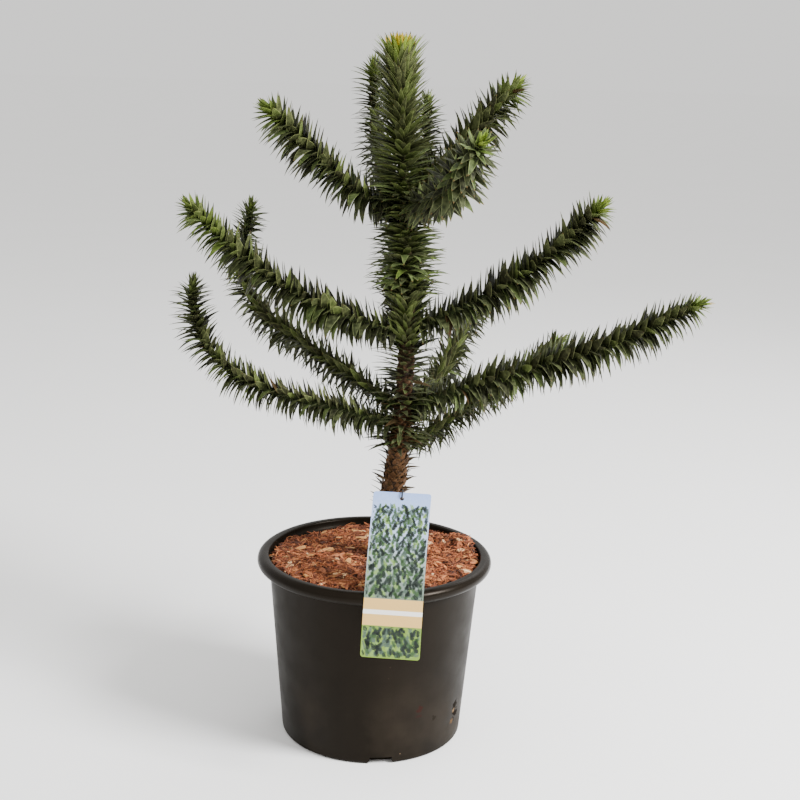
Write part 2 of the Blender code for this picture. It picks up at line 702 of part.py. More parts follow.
def main():
    for node in list(bpy.data.objects):
        bpy.data.objects.remove(node)
    materials = {name: new_material(name) for name in COLOURS}
    build_pot(materials["pot_plastic"])
    build_soil(materials["potting_bark"])
    card = card_path()
    build_card(card, materials["label_print"])
    build_tie(card, materials["tie_plastic"])
    axis = trunk_path()
    trunk = trunk_solid(axis)
    clearance = trunk_solid(axis, GAP)
    fixed = list(bpy.context.scene.objects)
    new_object("trunk", new_mesh("trunk", trunk), materials["bark"], LIMB_SMOOTH_BELOW)
    for bough in BOUGHS:
        fixed.append(build_bough(bough, bough_path(bough), clearance, materials["bark"]))
    build_foliage(axis, fixed, tree_of([trunk]), clearance, materials)


main()
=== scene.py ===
import json
import math
import random
from collections import namedtuple
from functools import partial
from types import SimpleNamespace

import bmesh
import bpy
from mathutils import Matrix, Vector, noise

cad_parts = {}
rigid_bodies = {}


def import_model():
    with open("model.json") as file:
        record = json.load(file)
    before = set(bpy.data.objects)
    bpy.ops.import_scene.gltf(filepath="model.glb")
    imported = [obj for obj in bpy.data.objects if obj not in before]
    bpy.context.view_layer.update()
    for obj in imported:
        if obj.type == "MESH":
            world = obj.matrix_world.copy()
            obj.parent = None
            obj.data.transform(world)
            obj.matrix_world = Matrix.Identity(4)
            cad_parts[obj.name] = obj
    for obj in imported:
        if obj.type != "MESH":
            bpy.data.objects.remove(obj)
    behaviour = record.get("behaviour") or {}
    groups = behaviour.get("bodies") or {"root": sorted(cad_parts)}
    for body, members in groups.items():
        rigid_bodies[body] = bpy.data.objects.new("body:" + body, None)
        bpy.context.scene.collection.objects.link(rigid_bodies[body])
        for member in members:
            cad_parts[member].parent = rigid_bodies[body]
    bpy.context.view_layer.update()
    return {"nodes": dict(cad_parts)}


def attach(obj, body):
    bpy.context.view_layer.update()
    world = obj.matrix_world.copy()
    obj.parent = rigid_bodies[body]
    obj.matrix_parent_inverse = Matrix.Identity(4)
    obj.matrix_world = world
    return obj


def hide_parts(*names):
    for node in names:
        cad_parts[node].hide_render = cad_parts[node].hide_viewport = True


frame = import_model()

# The view. A long lens two metres in front of the pot and just above the crown, looking
# a little down, with the slight roll of a hand-held picture.
IMAGE_PIXELS, FOCAL_PIXELS = 800, 1449.4
SENSOR_WIDTH = 36.0
CAMERA_PLACE = Vector((0.0063, -1.9948, 0.9978))
CAMERA_PITCH, CAMERA_YAW, CAMERA_ROLL = (math.radians(angle) for angle in (14.041, 0.702, 1.595))


def linked(name, data):
    """A new object in the scene."""
    thing = bpy.data.objects.new(name, data)
    bpy.context.scene.collection.objects.link(thing)
    return thing


forward = Vector((math.sin(CAMERA_YAW) * math.cos(CAMERA_PITCH),
                  math.cos(CAMERA_YAW) * math.cos(CAMERA_PITCH), -math.sin(CAMERA_PITCH)))
level = Vector((math.cos(CAMERA_YAW), -math.sin(CAMERA_YAW), 0.0))
upright = level.cross(forward)
right = level * math.cos(CAMERA_ROLL) + upright * math.sin(CAMERA_ROLL)
above = upright * math.cos(CAMERA_ROLL) - level * math.sin(CAMERA_ROLL)
camera = linked("camera", bpy.data.cameras.new("camera"))
camera.data.sensor_width = SENSOR_WIDTH
camera.data.lens = FOCAL_PIXELS / IMAGE_PIXELS * SENSOR_WIDTH
camera.matrix_world = (Matrix.Translation(CAMERA_PLACE)
                       @ Matrix((right, above, -forward)).transposed().to_4x4())
bpy.context.scene.camera = camera

# The studio. A matt white floor, a broad soft light high on the right, a weaker one on the
# left, and an even white surround, as for a cut-out catalogue picture.
FLOOR_HALF = 30.0
NODE_FAMILIES = ("GeometryNode", "ShaderNode", "FunctionNode", "Node")
MAIN_SETTINGS = ("operation", "mode", "interpolation_type", "input_type", "data_type")
# Name, place, size and power in watts of each lamp, and the point that they all face.
LAMPS = (("key_light", (2.3, -1.2, 2.2), 1.2, 290.0), ("fill_light", (-2.2, -1.5, 1.5), 1.8, 4.0),
         ("back_light", (1.2, 2.0, 2.3), 1.5, 20.0))
LAMP_AIM = Vector((0.0, 0.0, 0.55))


def linear(hex_colour):
    """An sRGB hex colour, such as 3b4a26, as linear red, green, blue and alpha."""
    levels = [int(hex_colour[place:place + 2], 16) / 255 for place in (0, 2, 4)]
    return [level / 12.92 if level <= 0.04045 else ((level + 0.055) / 1.055) ** 2.4
            for level in levels] + [1.0]


def fill(node, *values, **named):
    """Gives a node's inputs their values, in turn or by name, and its settings, which are the
    names in small letters. A value is a number, a hex colour, a socket, or a node's first output."""
    for name in filter(str.islower, named):
        setattr(node, name, named[name])
    sockets = [socket for socket in node.inputs if socket.enabled]
    by_name = {socket.name.replace(" ", "_"): socket for socket in reversed(sockets)}
    pairs = list(zip(sockets, values))
    pairs += [(by_name[name], value) for name, value in named.items() if not name.islower()]
    for socket, value in pairs:
        if isinstance(value, bpy.types.Node):
            value = next(found for found in value.outputs if found.enabled)
        if isinstance(value, bpy.types.NodeSocket):
            node.id_data.links.new(value, socket)
        else:
            socket.default_value = linear(value) if socket.type == "RGBA" else value


def add_node(tree, kind, *values, **named):
    """Adds a node, such as "Mapping", or "Math MULTIPLY" for one with a main setting. Every tree
    below has this function under the name add, with the tree filled in."""
    kind, *choice = kind.split()
    family = next(family for family in NODE_FAMILIES if hasattr(bpy.types, family + kind))
    node = tree.nodes.new(family + kind)
    if choice:
        setattr(node, next(name for name in MAIN_SETTINGS if hasattr(node, name)), choice[0])
    fill(node, *values, **named)
    return node


def new_material(name):
    """An empty material, its function add, its shader, and the object's coordinates in metres."""
    material = bpy.data.materials.new(name)
    material.use_nodes = True
    add = partial(add_node, material.node_tree)
    shader = material.node_tree.nodes["Principled BSDF"]
    return material, add, shader, add("TexCoord").outputs["Object"]


def painted_floor():
    """Matt white floor paint: no gloss at all, and hardly a mottle."""
    material, add, shader, place = new_material("matt white floor paint")
    mottle = add("TexNoise", place, Scale=3.0)
    fill(shader, Base_Color=add("Mix RGBA", mottle, "ffffff", "fcfcfb"), Roughness=0.9,
         Specular_IOR_Level=0.0)
    return material


floor_mesh = bpy.data.meshes.new("floor")
floor_mesh.from_pydata([(x * FLOOR_HALF, y * FLOOR_HALF, 0)
                        for x, y in ((-1, -1), (1, -1), (1, 1), (-1, 1))], [], [(0, 1, 2, 3)])
floor_mesh.materials.append(painted_floor())
floor = linked("floor", floor_mesh)
for name, place, size, power in LAMPS:
    lamp = linked(name, bpy.data.lights.new(name, "AREA"))
    lamp.data.size, lamp.data.energy = size, power
    lamp.location = place
    lamp.rotation_euler = (LAMP_AIM - lamp.location).to_track_quat("-Z", "Y").to_euler()
surround = bpy.data.worlds.new("surround")
surround.use_nodes = True
fill(surround.node_tree.nodes["Background"], Color="fbfaf8", Strength=1.15)
bpy.context.scene.world = surround

# The pot. A nursery container 34 cm across its rolled rim, injection moulded in black
# recycled polypropylene, with three drain notches in its foot; dusty and splashed low down.
POT_HEIGHT = 0.270
POT_SIDES = 176
RIM_RADIUS, RIM_ROLL = 0.170, 0.0093
WALL_TOP_RADIUS, BASE_RADIUS = 0.152, 0.132
WALL = 0.0022
FOOT_ROUNDING, RIM_FILLET = 0.0055, 0.004
LIP_ROUNDING, LIP_SETBACK, LIP_STEP = 0.003, 0.0045, 0.0008
LIP_DEPTHS = (0.0105, 0.0115)
UNDER_RIM = POT_HEIGHT - 2 * RIM_ROLL
LEDGE, LEDGE_RISE = 0.0016, 0.0012    # inner step that an upper pot stands on when they are stacked
NOTCH_AZIMUTHS = (-83.0, 37.0, 157.0)
NOTCH_WIDTH, NOTCH_TOP_WIDTH = 0.038, 0.031
NOTCH_HEIGHT, NOTCH_DEPTH, NOTCH_OVERSHOOT = 0.0105, 0.014, 0.010
FOOT_SOLID = 0.014            # the foot is thick, so that a notch ends in plastic
MERGE = 0.00001
# A few stains have a place: where it is, how wide, how ragged, how strong, and its colour.
STAINS = (((0.122, -0.058, 0.046), 0.0090, 0.0050, 1.00, "0e0905"),
          ((0.121, -0.062, 0.062), 0.0070, 0.0036, 0.95, "0f0a06"),
          ((0.119, -0.064, 0.053), 0.0032, 0.0024, 0.90, "7a6042"),
          ((0.118, -0.066, 0.037), 0.0040, 0.0030, 0.85, "5e4730"),
          ((0.0697, -0.1191, 0.079), 0.0056, 0.0060, 0.60, "301614"),
          ((0.0690, -0.1185, 0.070), 0.0044, 0.0060, 0.50, "2e1718"),
          ((0.091, -0.101, 0.060), 0.0050, 0.0060, 0.45, "0d0906"))


def mix(first, last, share):
    return first + (last - first) * share


def arc(centre, radius, start, end, steps):
    """Points of (radius, height) round a centre, by angle in degrees above outwards."""
    angles = [math.radians(mix(start, end, step / steps)) for step in range(steps + 1)]
    return [(centre[0] + radius * math.cos(angle), centre[1] + radius * math.sin(angle))
            for angle in angles]


def turned(profile, sides):
    """A solid of revolution about Z, from an outline of (radius, height), axis to axis."""
    shape = bmesh.new()
    corners = [shape.verts.new((radius, 0.0, height)) for radius, height in profile]
    edges = [shape.edges.new(pair) for pair in zip(corners, corners[1:])]
    bmesh.ops.spin(shape, geom=corners + edges, cent=(0, 0, 0), axis=(0, 0, 1),
                   angle=math.tau, steps=sides, use_duplicate=False)
    bmesh.ops.remove_doubles(shape, verts=shape.verts, dist=MERGE)
    return shape


def plain_mesh(name, shape, closed=True):
    """The mesh of a finished shape; a closed one has its faces turned outwards."""
    if closed:
        bmesh.ops.recalc_face_normals(shape, faces=shape.faces)
    mesh = bpy.data.meshes.new(name)
    shape.to_mesh(mesh)
    shape.free()
    return mesh


def evaluated_mesh(carrier):
    """The mesh of an object with its modifiers applied; the object itself goes."""
    evaluated = carrier.evaluated_get(bpy.context.evaluated_depsgraph_get())
    mesh = bpy.data.meshes.new_from_object(evaluated)
    carrier.modifiers.clear()
    bpy.data.objects.remove(carrier)
    return mesh


def surfaced(mesh, material, sharp_from):
    """Gives a mesh its material and smooth shading, but sharp edges from an angle in degrees."""
    mesh.materials.clear()
    mesh.materials.append(material)
    mesh.shade_smooth()
    mesh.set_sharp_from_angle(angle=math.radians(sharp_from))
    return mesh


def finished(name, mesh, slot, *replaced):
    """A finished mesh as a piece of the one body, which stands for those CAD nodes."""
    piece = linked(name, mesh)
    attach(piece, "root")
    if replaced:
        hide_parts(*replaced)


def shape_collection(name, meshes):
    collection = bpy.data.collections.new(name)
    for mesh in meshes:
        collection.objects.link(bpy.data.objects.new(name, mesh))
    return collection


def discard(collection):
    for shape in list(collection.objects):
        bpy.data.objects.remove(shape)
    bpy.data.collections.remove(collection)


def inner_radius(height):
    return mix(BASE_RADIUS, WALL_TOP_RADIUS, height / UNDER_RIM) - WALL


def notch_block(azimuth):
    """A wedge with sloping sides that reaches in through the foot's edge."""
    shape = bmesh.new()
    low_in, low_out, high_in, high_out = [
        [shape.verts.new((reach, side * width / 2, height)) for side in (-1, 1)]
        for height, width in ((-NOTCH_OVERSHOOT, NOTCH_WIDTH), (NOTCH_HEIGHT, NOTCH_TOP_WIDTH))
        for reach in (BASE_RADIUS - NOTCH_DEPTH, BASE_RADIUS + NOTCH_OVERSHOOT)]
    for a, b in ((low_in, low_out), (low_out, high_out), (high_out, high_in), (high_in, low_in)):
        shape.faces.new((a[0], a[1], b[1], b[0]))
    for side in (0, 1):
        shape.faces.new([row[side] for row in (low_in, low_out, high_out, high_in)])
    bmesh.ops.rotate(shape, verts=shape.verts, cent=(0, 0, 0),
                     matrix=Matrix.Rotation(math.radians(azimuth), 3, "Z"))
    return plain_mesh("notch", shape)


def moulded_polypropylene():
    """Black recycled polypropylene: warm black, satin, with an orange-peel skin and dust."""
    material, add, shader, place = new_material("moulded_black_polypropylene")
    # Flow marks of the moulding run up the wall, a few centimetres wide.
    stretched = add("Mapping", place, Scale=(1.0, 1.0, 0.16))
    flow = add("TexNoise", stretched, Scale=38.0, Detail=4.0)
    tone = add("Mix RGBA", flow, "0f0c08", "15110c")
    height = add("SeparateXYZ", place).outputs["Z"]
    low = add("MapRange", height, 0.16, 0.02)
    # Dried splashes of compost, 1 to 3 mm wide, in patches, and dust; thicker towards the foot.
    spots = add("MapRange", add("TexVoronoi", place, Scale=62.0), 0.055, 0.085, 1.0, 0.0)
    patch = add("MapRange", add("TexNoise", place, Scale=21.0, Detail=3.0), 0.55, 0.66)
    spots = add("Math MULTIPLY", spots, patch)
    dust = add("MapRange", add("TexNoise", place, Scale=9.0, Detail=6.0), 0.48, 0.72, 0.0, 0.22)
    spots, dust = (add("Math MULTIPLY", share, low) for share in (spots, dust))
    for share, colour in ((dust, "544a3f"), (spots, "7d6a55")):
        tone = add("Mix RGBA", share, tone, colour)
    caked = 0.0
    for spot_place, size, grain, strength, colour in STAINS:
        away = add("VectorMath DISTANCE", place, spot_place).outputs["Value"]
        ragged = add("TexNoise", place, Scale=1.0 / grain, Detail=4.0)
        ragged = add("Math SUBTRACT", ragged, 0.5)
        away = add("Math MULTIPLY_ADD", ragged, 3.0 * size, away)
        stain = add("MapRange", away, 0.6 * size, size, strength, 0.0)
        tone = add("Mix RGBA", stain, tone, colour)
        caked = add("Math MAXIMUM", stain, caked)
    wear = add("MapRange", add("TexNoise", place, Scale=26.0, Detail=5.0), 0.3, 0.7, 0.38, 0.52)
    wear = add("Math MULTIPLY_ADD", caked, 0.5, add("Math ADD", wear, dust))
    # Hands polish the rolled rim; the wall below stays duller.
    polish = add("MapRange", height, UNDER_RIM, UNDER_RIM + RIM_ROLL, 0.0, -0.17)
    # The orange peel is 1.5 mm across, drawn a little coarser than the real skin.
    peel = add("TexNoise", place, Scale=620.0)
    fill(shader, Base_Color=tone, Roughness=add("Math ADD", wear, polish),
         Normal=add("Bump", Strength=0.12, Distance=0.0004, Height=peel),
         Specular_IOR_Level=0.085, Specular_Tint="ffeedc")
    return material


profile = [(0.0, 0.0)]
profile += arc((BASE_RADIUS - FOOT_ROUNDING, FOOT_ROUNDING), FOOT_ROUNDING, -90, -4, 6)
profile += arc((WALL_TOP_RADIUS + RIM_FILLET, UNDER_RIM - RIM_FILLET), RIM_FILLET, 180, 90, 4)
profile += arc((RIM_RADIUS - RIM_ROLL, POT_HEIGHT - RIM_ROLL), RIM_ROLL, -90, 90, 18)
profile += arc((WALL_TOP_RADIUS + LIP_SETBACK, POT_HEIGHT - LIP_ROUNDING), LIP_ROUNDING, 90, 180, 5)
profile += [(WALL_TOP_RADIUS + LIP_STEP, POT_HEIGHT - LIP_DEPTHS[0]),
            (WALL_TOP_RADIUS, POT_HEIGHT - LIP_DEPTHS[1]),
            (inner_radius(UNDER_RIM) + LEDGE, UNDER_RIM + LEDGE_RISE),
            (inner_radius(UNDER_RIM), UNDER_RIM), (inner_radius(FOOT_SOLID), FOOT_SOLID),
            (0.0, FOOT_SOLID)]
blocks = shape_collection("notch_blocks", [notch_block(azimuth) for azimuth in NOTCH_AZIMUTHS])
uncut = linked("uncut_pot", plain_mesh("pot", turned(profile, POT_SIDES)))
notching = uncut.modifiers.new("notches", "BOOLEAN")
notching.operand_type, notching.collection, notching.solver = "COLLECTION", blocks, "EXACT"
pot_mesh = surfaced(evaluated_mesh(uncut), moulded_polypropylene(), 35)
discard(blocks)
finished("pot_moulded", pot_mesh, "pot_plastic", "pot")

# The compost and its mulch. Moist dark compost fills the pot; the top is dressed with
# shredded bark: red-brown fibres and splinters that lie crossed, and a few pale wood chips.
SOIL_TOP = 0.262
SOIL_FLAT_RADIUS = 0.045
SOIL_LUMP = 0.0028
SOIL_WAVES = (0.088, 0.108, 0.051, 0.065)
SOIL_FRONT_FILL, SOIL_EDGE_DROP = 0.003, 0.002
SOIL_RINGS, SOIL_SIDES = 60, 160
GAP = 0.0003
COMPOST_SUNK = 0.0020         # how far the compost lies under the mulch's slope
CRUMB_HEIGHT = 0.0012
CRUMB_DETAIL = ((1.0, 0.0, 110.0), (0.5, 7.0, 300.0))    # share, layer and fineness
# The mulch was tipped in from the right: a heap hides the rim there, and it falls short at the
# left back. Place, height and width of each.
MULCH_SWELLS = ((0.133, 0.052, 0.0165, 0.030), (-0.080, 0.110, -0.0055, 0.075),
                (0.050, -0.115, 0.0020, 0.050))
CLOD, CLOD_HEIGHT = 0.014, 0.0042
MULCH_RADIUS, MULCH_HOLE = 0.1485, 0.021
MULCH_CELLS = 80
TRUNK_FOOT_X = 0.0085
# Shreds one unit long: width at each place along them, then their bow and thickness.
SPLINTERS = ((((-0.5, 0.04), (-0.2, 0.16), (0.2, 0.20), (0.5, 0.05)), 0.05, 0.07),
             (((-0.5, 0.10), (-0.1, 0.22), (0.3, 0.13), (0.5, 0.02)), 0.09, 0.06),
             (((-0.5, 0.02), (-0.25, 0.10), (0.25, 0.11), (0.5, 0.03)), 0.14, 0.05),
             (((-0.5, 0.15), (0.0, 0.26), (0.4, 0.20), (0.5, 0.09)), 0.02, 0.09))
FIBRES = ((((-0.5, 0.015), (-0.15, 0.05), (0.2, 0.05), (0.5, 0.01)), 0.16, 0.035),
          (((-0.5, 0.02), (-0.2, 0.04), (0.2, 0.06), (0.5, 0.02)), 0.28, 0.03),
          (((-0.5, 0.01), (0.0, 0.06), (0.5, 0.01)), 0.08, 0.04))
CHIPS = ((((-0.5, 0.22), (-0.1, 0.42), (0.3, 0.36), (0.5, 0.14)), 0.02, 0.10),
         (((-0.5, 0.08), (0.1, 0.34), (0.5, 0.24)), 0.04, 0.08))
# Colours where a shred is freshly torn and where it isn't, and how wide its grain is.
SHREDDED = {"red": ("shredded_bark_red", "ac5d33", "3a190b", 0.0008),
            "brown": ("shredded_bark_brown", "864627", "261008", 0.0008),
            "orange": ("shredded_bark_orange", "cc8350", "7c3d1c", 0.0008),
            "tan": ("torn_wood_tan", "d6a062", "96602f", 0.0012),
            "pale": ("torn_wood_pale", "e6c496", "bd8a58", 0.0012)}
# For each kind of shred: pieces to a square metre, shortest, longest, tip, lift, seed, colours.
STREWN = (("mulch_splinters", SPLINTERS, 74000, 0.006, 0.019, 0.45, 0.0036, 5, "red brown orange"),
          ("mulch_fibres", FIBRES, 58000, 0.008, 0.021, 0.50, 0.0042, 6, "red orange brown"),
          ("mulch_chips", CHIPS, 6400, 0.006, 0.026, 0.30, 0.0046, 17, "orange tan pale"))


def soil_height(x, y):
    """The mulch's broad lumps, a little fuller at the front, and level round the trunk."""
    radius = math.hypot(x, y)
    share = max(0.0, (radius - SOIL_FLAT_RADIUS) / (WALL_TOP_RADIUS - SOIL_FLAT_RADIUS))
    lumps = math.sin(math.tau * x / SOIL_WAVES[0]) * math.cos(math.tau * y / SOIL_WAVES[1])
    lumps += math.sin(math.tau * (x / SOIL_WAVES[2] - y / SOIL_WAVES[3]))
    rise = SOIL_FRONT_FILL * max(0.0, -y / max(radius, GAP)) - SOIL_EDGE_DROP
    return SOIL_TOP + share * rise + SOIL_LUMP / 2 * lumps * math.sin(math.pi * min(share, 1.0))


def mulch_height(x, y):
    height = soil_height(x, y) + CLOD_HEIGHT * noise.noise(Vector((x, y, 3.0)) / CLOD)
    for middle_x, middle_y, rise, width in MULCH_SWELLS:
        away = math.hypot(x - middle_x, y - middle_y) / width
        height += rise * math.exp(-away * away)
    return height


def crumbled_compost():
    """Moist bark compost: red-brown on its crumbs and nearly black in its gaps as painted shade, quite
    matt.
    """
    material, add, shader, place = new_material("moist_bark_compost")
    crumb = add("TexVoronoi", place, Scale=260.0)
    blotch = add("TexNoise", place, Scale=70.0, Detail=5.0)
    dark = add("Mix RGBA", blotch, "170c07", "3a1c10")
    # Painted shade: towards the edge of each crumb's cell the colour goes to the near-black 1d0f09.
    fill(shader, Base_Color=add("Mix RGBA", crumb, dark, "1d0f09"), Roughness=0.95,
         Normal=add("Bump", Strength=0.8, Distance=0.0015, Height=crumb))
    return material


edge_height = SOIL_TOP - 2 * SOIL_LUMP
edge_radius = inner_radius(edge_height) - GAP
profile = [(0.0, FOOT_SOLID + GAP), (inner_radius(FOOT_SOLID) - GAP, FOOT_SOLID + GAP),
           (edge_radius, edge_height)]
profile += [(mix(edge_radius, 0.0, ring / SOIL_RINGS), SOIL_TOP) for ring in range(SOIL_RINGS + 1)]
shape = turned(profile, SOIL_SIDES)
for corner in shape.verts:
    if corner.co.z > SOIL_TOP - GAP:
        x, y = corner.co.xy
        crumbs = sum(share * noise.noise(Vector((x, y, layer)) * fineness)
                     for share, layer, fineness in CRUMB_DETAIL)
        corner.co.z = mulch_height(x, y) - COMPOST_SUNK + CRUMB_HEIGHT * crumbs
finished("compost", surfaced(plain_mesh("compost", shape), crumbled_compost(), 60),
         "potting_bark", "soil")


def shredded_bark(name, pale, dark, grain_across):
    """Torn bark and wood: grain along the shred, paler where it is freshly torn, matt."""
    material, add, shader, place = new_material(name)
    own = add("Attribute", attribute_name="shade").outputs["Fac"]
    grain = add("TexNoise", place, Scale=1.0 / grain_across, Detail=4.0)
    share = add("Math MULTIPLY_ADD", grain, 0.30, add("Math MULTIPLY", own, 0.85))
    # Patches 30 mm across lie damper and darker than others.
    damp = add("TexNoise", place, Scale=30.0, Detail=2.0)
    damp = add("MapRange", damp, 0.36, 0.62, 0.42, 1.12)
    share = add("Math MULTIPLY", share, damp)
    fill(shader, Base_Color=add("Mix RGBA", share, dark, pale), Roughness=0.85,
         Normal=add("Bump", Strength=0.5, Distance=0.0004, Height=grain))
    return material


def new_tree(name, **sizes):
    """A Geometry Nodes tree with these inputs of each kind, its function add, and their sockets."""
    tree = bpy.data.node_groups.new(name, "GeometryNodeTree")
    for way in ("INPUT", "OUTPUT"):
        tree.interface.new_socket("Geometry", in_out=way, socket_type="NodeSocketGeometry")
    for kind, labels in sizes.items():
        for label in labels.split():
            tree.interface.new_socket(label, in_out="INPUT", socket_type="NodeSocket" + kind)
    add = partial(add_node, tree)
    sockets = add("GroupInput").outputs
    return tree, add, SimpleNamespace(**{socket.name: socket for socket in sockets if socket.name})


def grown(guide, tree, **values):
    """The plain mesh that a tree makes on a guide mesh; each input is set by its identifier."""
    carrier = linked("guide", guide)
    modifier = carrier.modifiers.new(tree.name, "NODES")
    modifier.node_group = tree
    for item in tree.interface.items_tree:
        if item.in_out == "INPUT" and item.name in values:
            modifier[item.identifier] = values[item.name]
    return evaluated_mesh(carrier)


def shred(sections, bow, thickness):
    """One shred, a unit long: torn ends and a bow along it."""
    shape = bmesh.new()
    rings = []
    for place, width in sections:
        lift = bow * (1.0 - (2.0 * place) ** 2)
        rings.append([shape.verts.new((place, side * width / 2, lift + level * thickness / 2))
                      for side, level in ((-1, -1), (1, -1), (0.8, 1), (-0.7, 1))])
    for first, second in zip(rings, rings[1:]):
        for corner in range(4):
            after = (corner + 1) % 4
            shape.faces.new((first[corner], first[after], second[after], second[corner]))
    shape.faces.new(list(reversed(rings[0])))
    shape.faces.new(rings[-1])
    return plain_mesh("shred", shape)


# Loose pieces strewn on a surface: scattered, dropped at any turn, tipped and lifted a little.
strewing, add, g = new_tree("strewn_mulch", Float="Density Shortest Longest Tip Lift", Int="Seed",
                            Collection="Shapes", Material="First Second Third")
spread = add("DistributePointsOnFaces", g.Geometry, Density=g.Density, Seed=g.Seed)
draws = {}
for number, (name, low, high) in enumerate((
        ("tip_x", -1.0, 1.0), ("tip_y", -1.0, 1.0), ("turn", 0.0, math.tau), ("rise", 0.0, 1.0),
        ("shape", 0.0, 1.0), ("length", 0.0, 1.0), ("shade", 0.0, 1.0), ("breadth", 0.7, 1.3))):
    seed = add("Math ADD", g.Seed, 31.0 * number)
    draws[name] = add("RandomValue", low, high, Seed=seed)
for name, value in (("tip_x", g.Tip), ("tip_y", g.Tip), ("rise", g.Lift), ("shape", 97.0)):
    draws[name] = add("Math MULTIPLY", draws[name], value)
rise = add("CombineXYZ", Z=draws["rise"])
points = add("SetPosition", spread.outputs["Points"], Offset=rise)
points = add("StoreNamedAttribute FLOAT", points, Name="shade", Value=draws["shade"])
turn = add("CombineXYZ", draws["tip_x"], draws["tip_y"], draws["turn"])
length = add("Math POWER", draws["length"], 2.0)
length = add("MapRange", length, To_Min=g.Shortest, To_Max=g.Longest)
breadth = add("Math MULTIPLY", length, draws["breadth"])
scale = add("CombineXYZ", length, breadth, breadth)
shapes = add("CollectionInfo", g.Shapes, Separate_Children=True, Reset_Children=True)
strewn = add("InstanceOnPoints", points, Instance=shapes, Pick_Instance=True,
             Instance_Index=draws["shape"], Rotation=turn, Scale=scale)
strewn = add("RealizeInstances", strewn)
shade = add("InputNamedAttribute FLOAT", "shade")
share = add("Math FRACT", add("Math MULTIPLY", shade, 7.13))
strewn = add("SetMaterial", strewn, Material=g.First)
for limit, material in ((0.62, g.Second), (0.28, g.Third)):
    chosen = add("Compare LESS_THAN", share, limit)
    strewn = add("SetMaterial", strewn, chosen, material)
add("GroupOutput", strewn)

barks = {colour: shredded_bark(*look) for colour, look in SHREDDED.items()}
strewn_top = bmesh.new()
bmesh.ops.create_grid(strewn_top, x_segments=MULCH_CELLS, y_segments=MULCH_CELLS,
                      size=WALL_TOP_RADIUS)
for corner in strewn_top.verts:
    corner.co.z = mulch_height(corner.co.x, corner.co.y)
outside = [corner for corner in strewn_top.verts if corner.co.xy.length > MULCH_RADIUS
           or (corner.co.xy - Vector((TRUNK_FOOT_X, 0.0))).length < MULCH_HOLE]
bmesh.ops.delete(strewn_top, geom=outside, context="VERTS")
top_mesh = plain_mesh("mulch_top", strewn_top, closed=False)
patterns = [shape_collection("shreds", [shred(*outline) for outline in outlines])
            for name, outlines, *rest in STREWN]
for shapes, (name, outlines, density, shortest, longest, tip, lift, seed, colours) in zip(
        patterns, STREWN):
    first, second, third = (barks[colour] for colour in colours.split())
    mesh = grown(top_mesh.copy(), strewing, Density=density, Shapes=shapes, Shortest=shortest,
                 Longest=longest, Tip=tip, Lift=lift, Seed=seed, First=first, Second=second,
                 Third=third)
    finished(name, mesh, "potting_bark")
bpy.data.meshes.remove(top_mesh)
for shapes in patterns:
    discard(shapes)

# The trunk and boughs. Brown bark over a living stem, leaning and bowed to the right, with
# a flare at the soil; the boughs leave it in three whorls and turn up at their ends.
CROWN_TOP, TRUNK_TOP = 0.985, 0.962
TRUNK_TIP_X = 0.0172
TRUNK_BOW, TRUNK_BOW_SKEW = 0.0243, 0.39
TRUNK_FOOT_RADIUS, TRUNK_TIP_RADIUS = 0.0178, 0.0052
FLARE_RADIUS, FLARE_HEIGHT = 0.0055, 0.020
TRUNK_STEPS = 90
BOUGH_TIP_RADIUS = 0.0030
BOUGH_STEPS = 60
TRUNK_RELIEF, BOUGH_RELIEF = 0.0018, 0.0004    # how far the bark's relief stands out, on average
LARGE, SMALL = "large", "small"
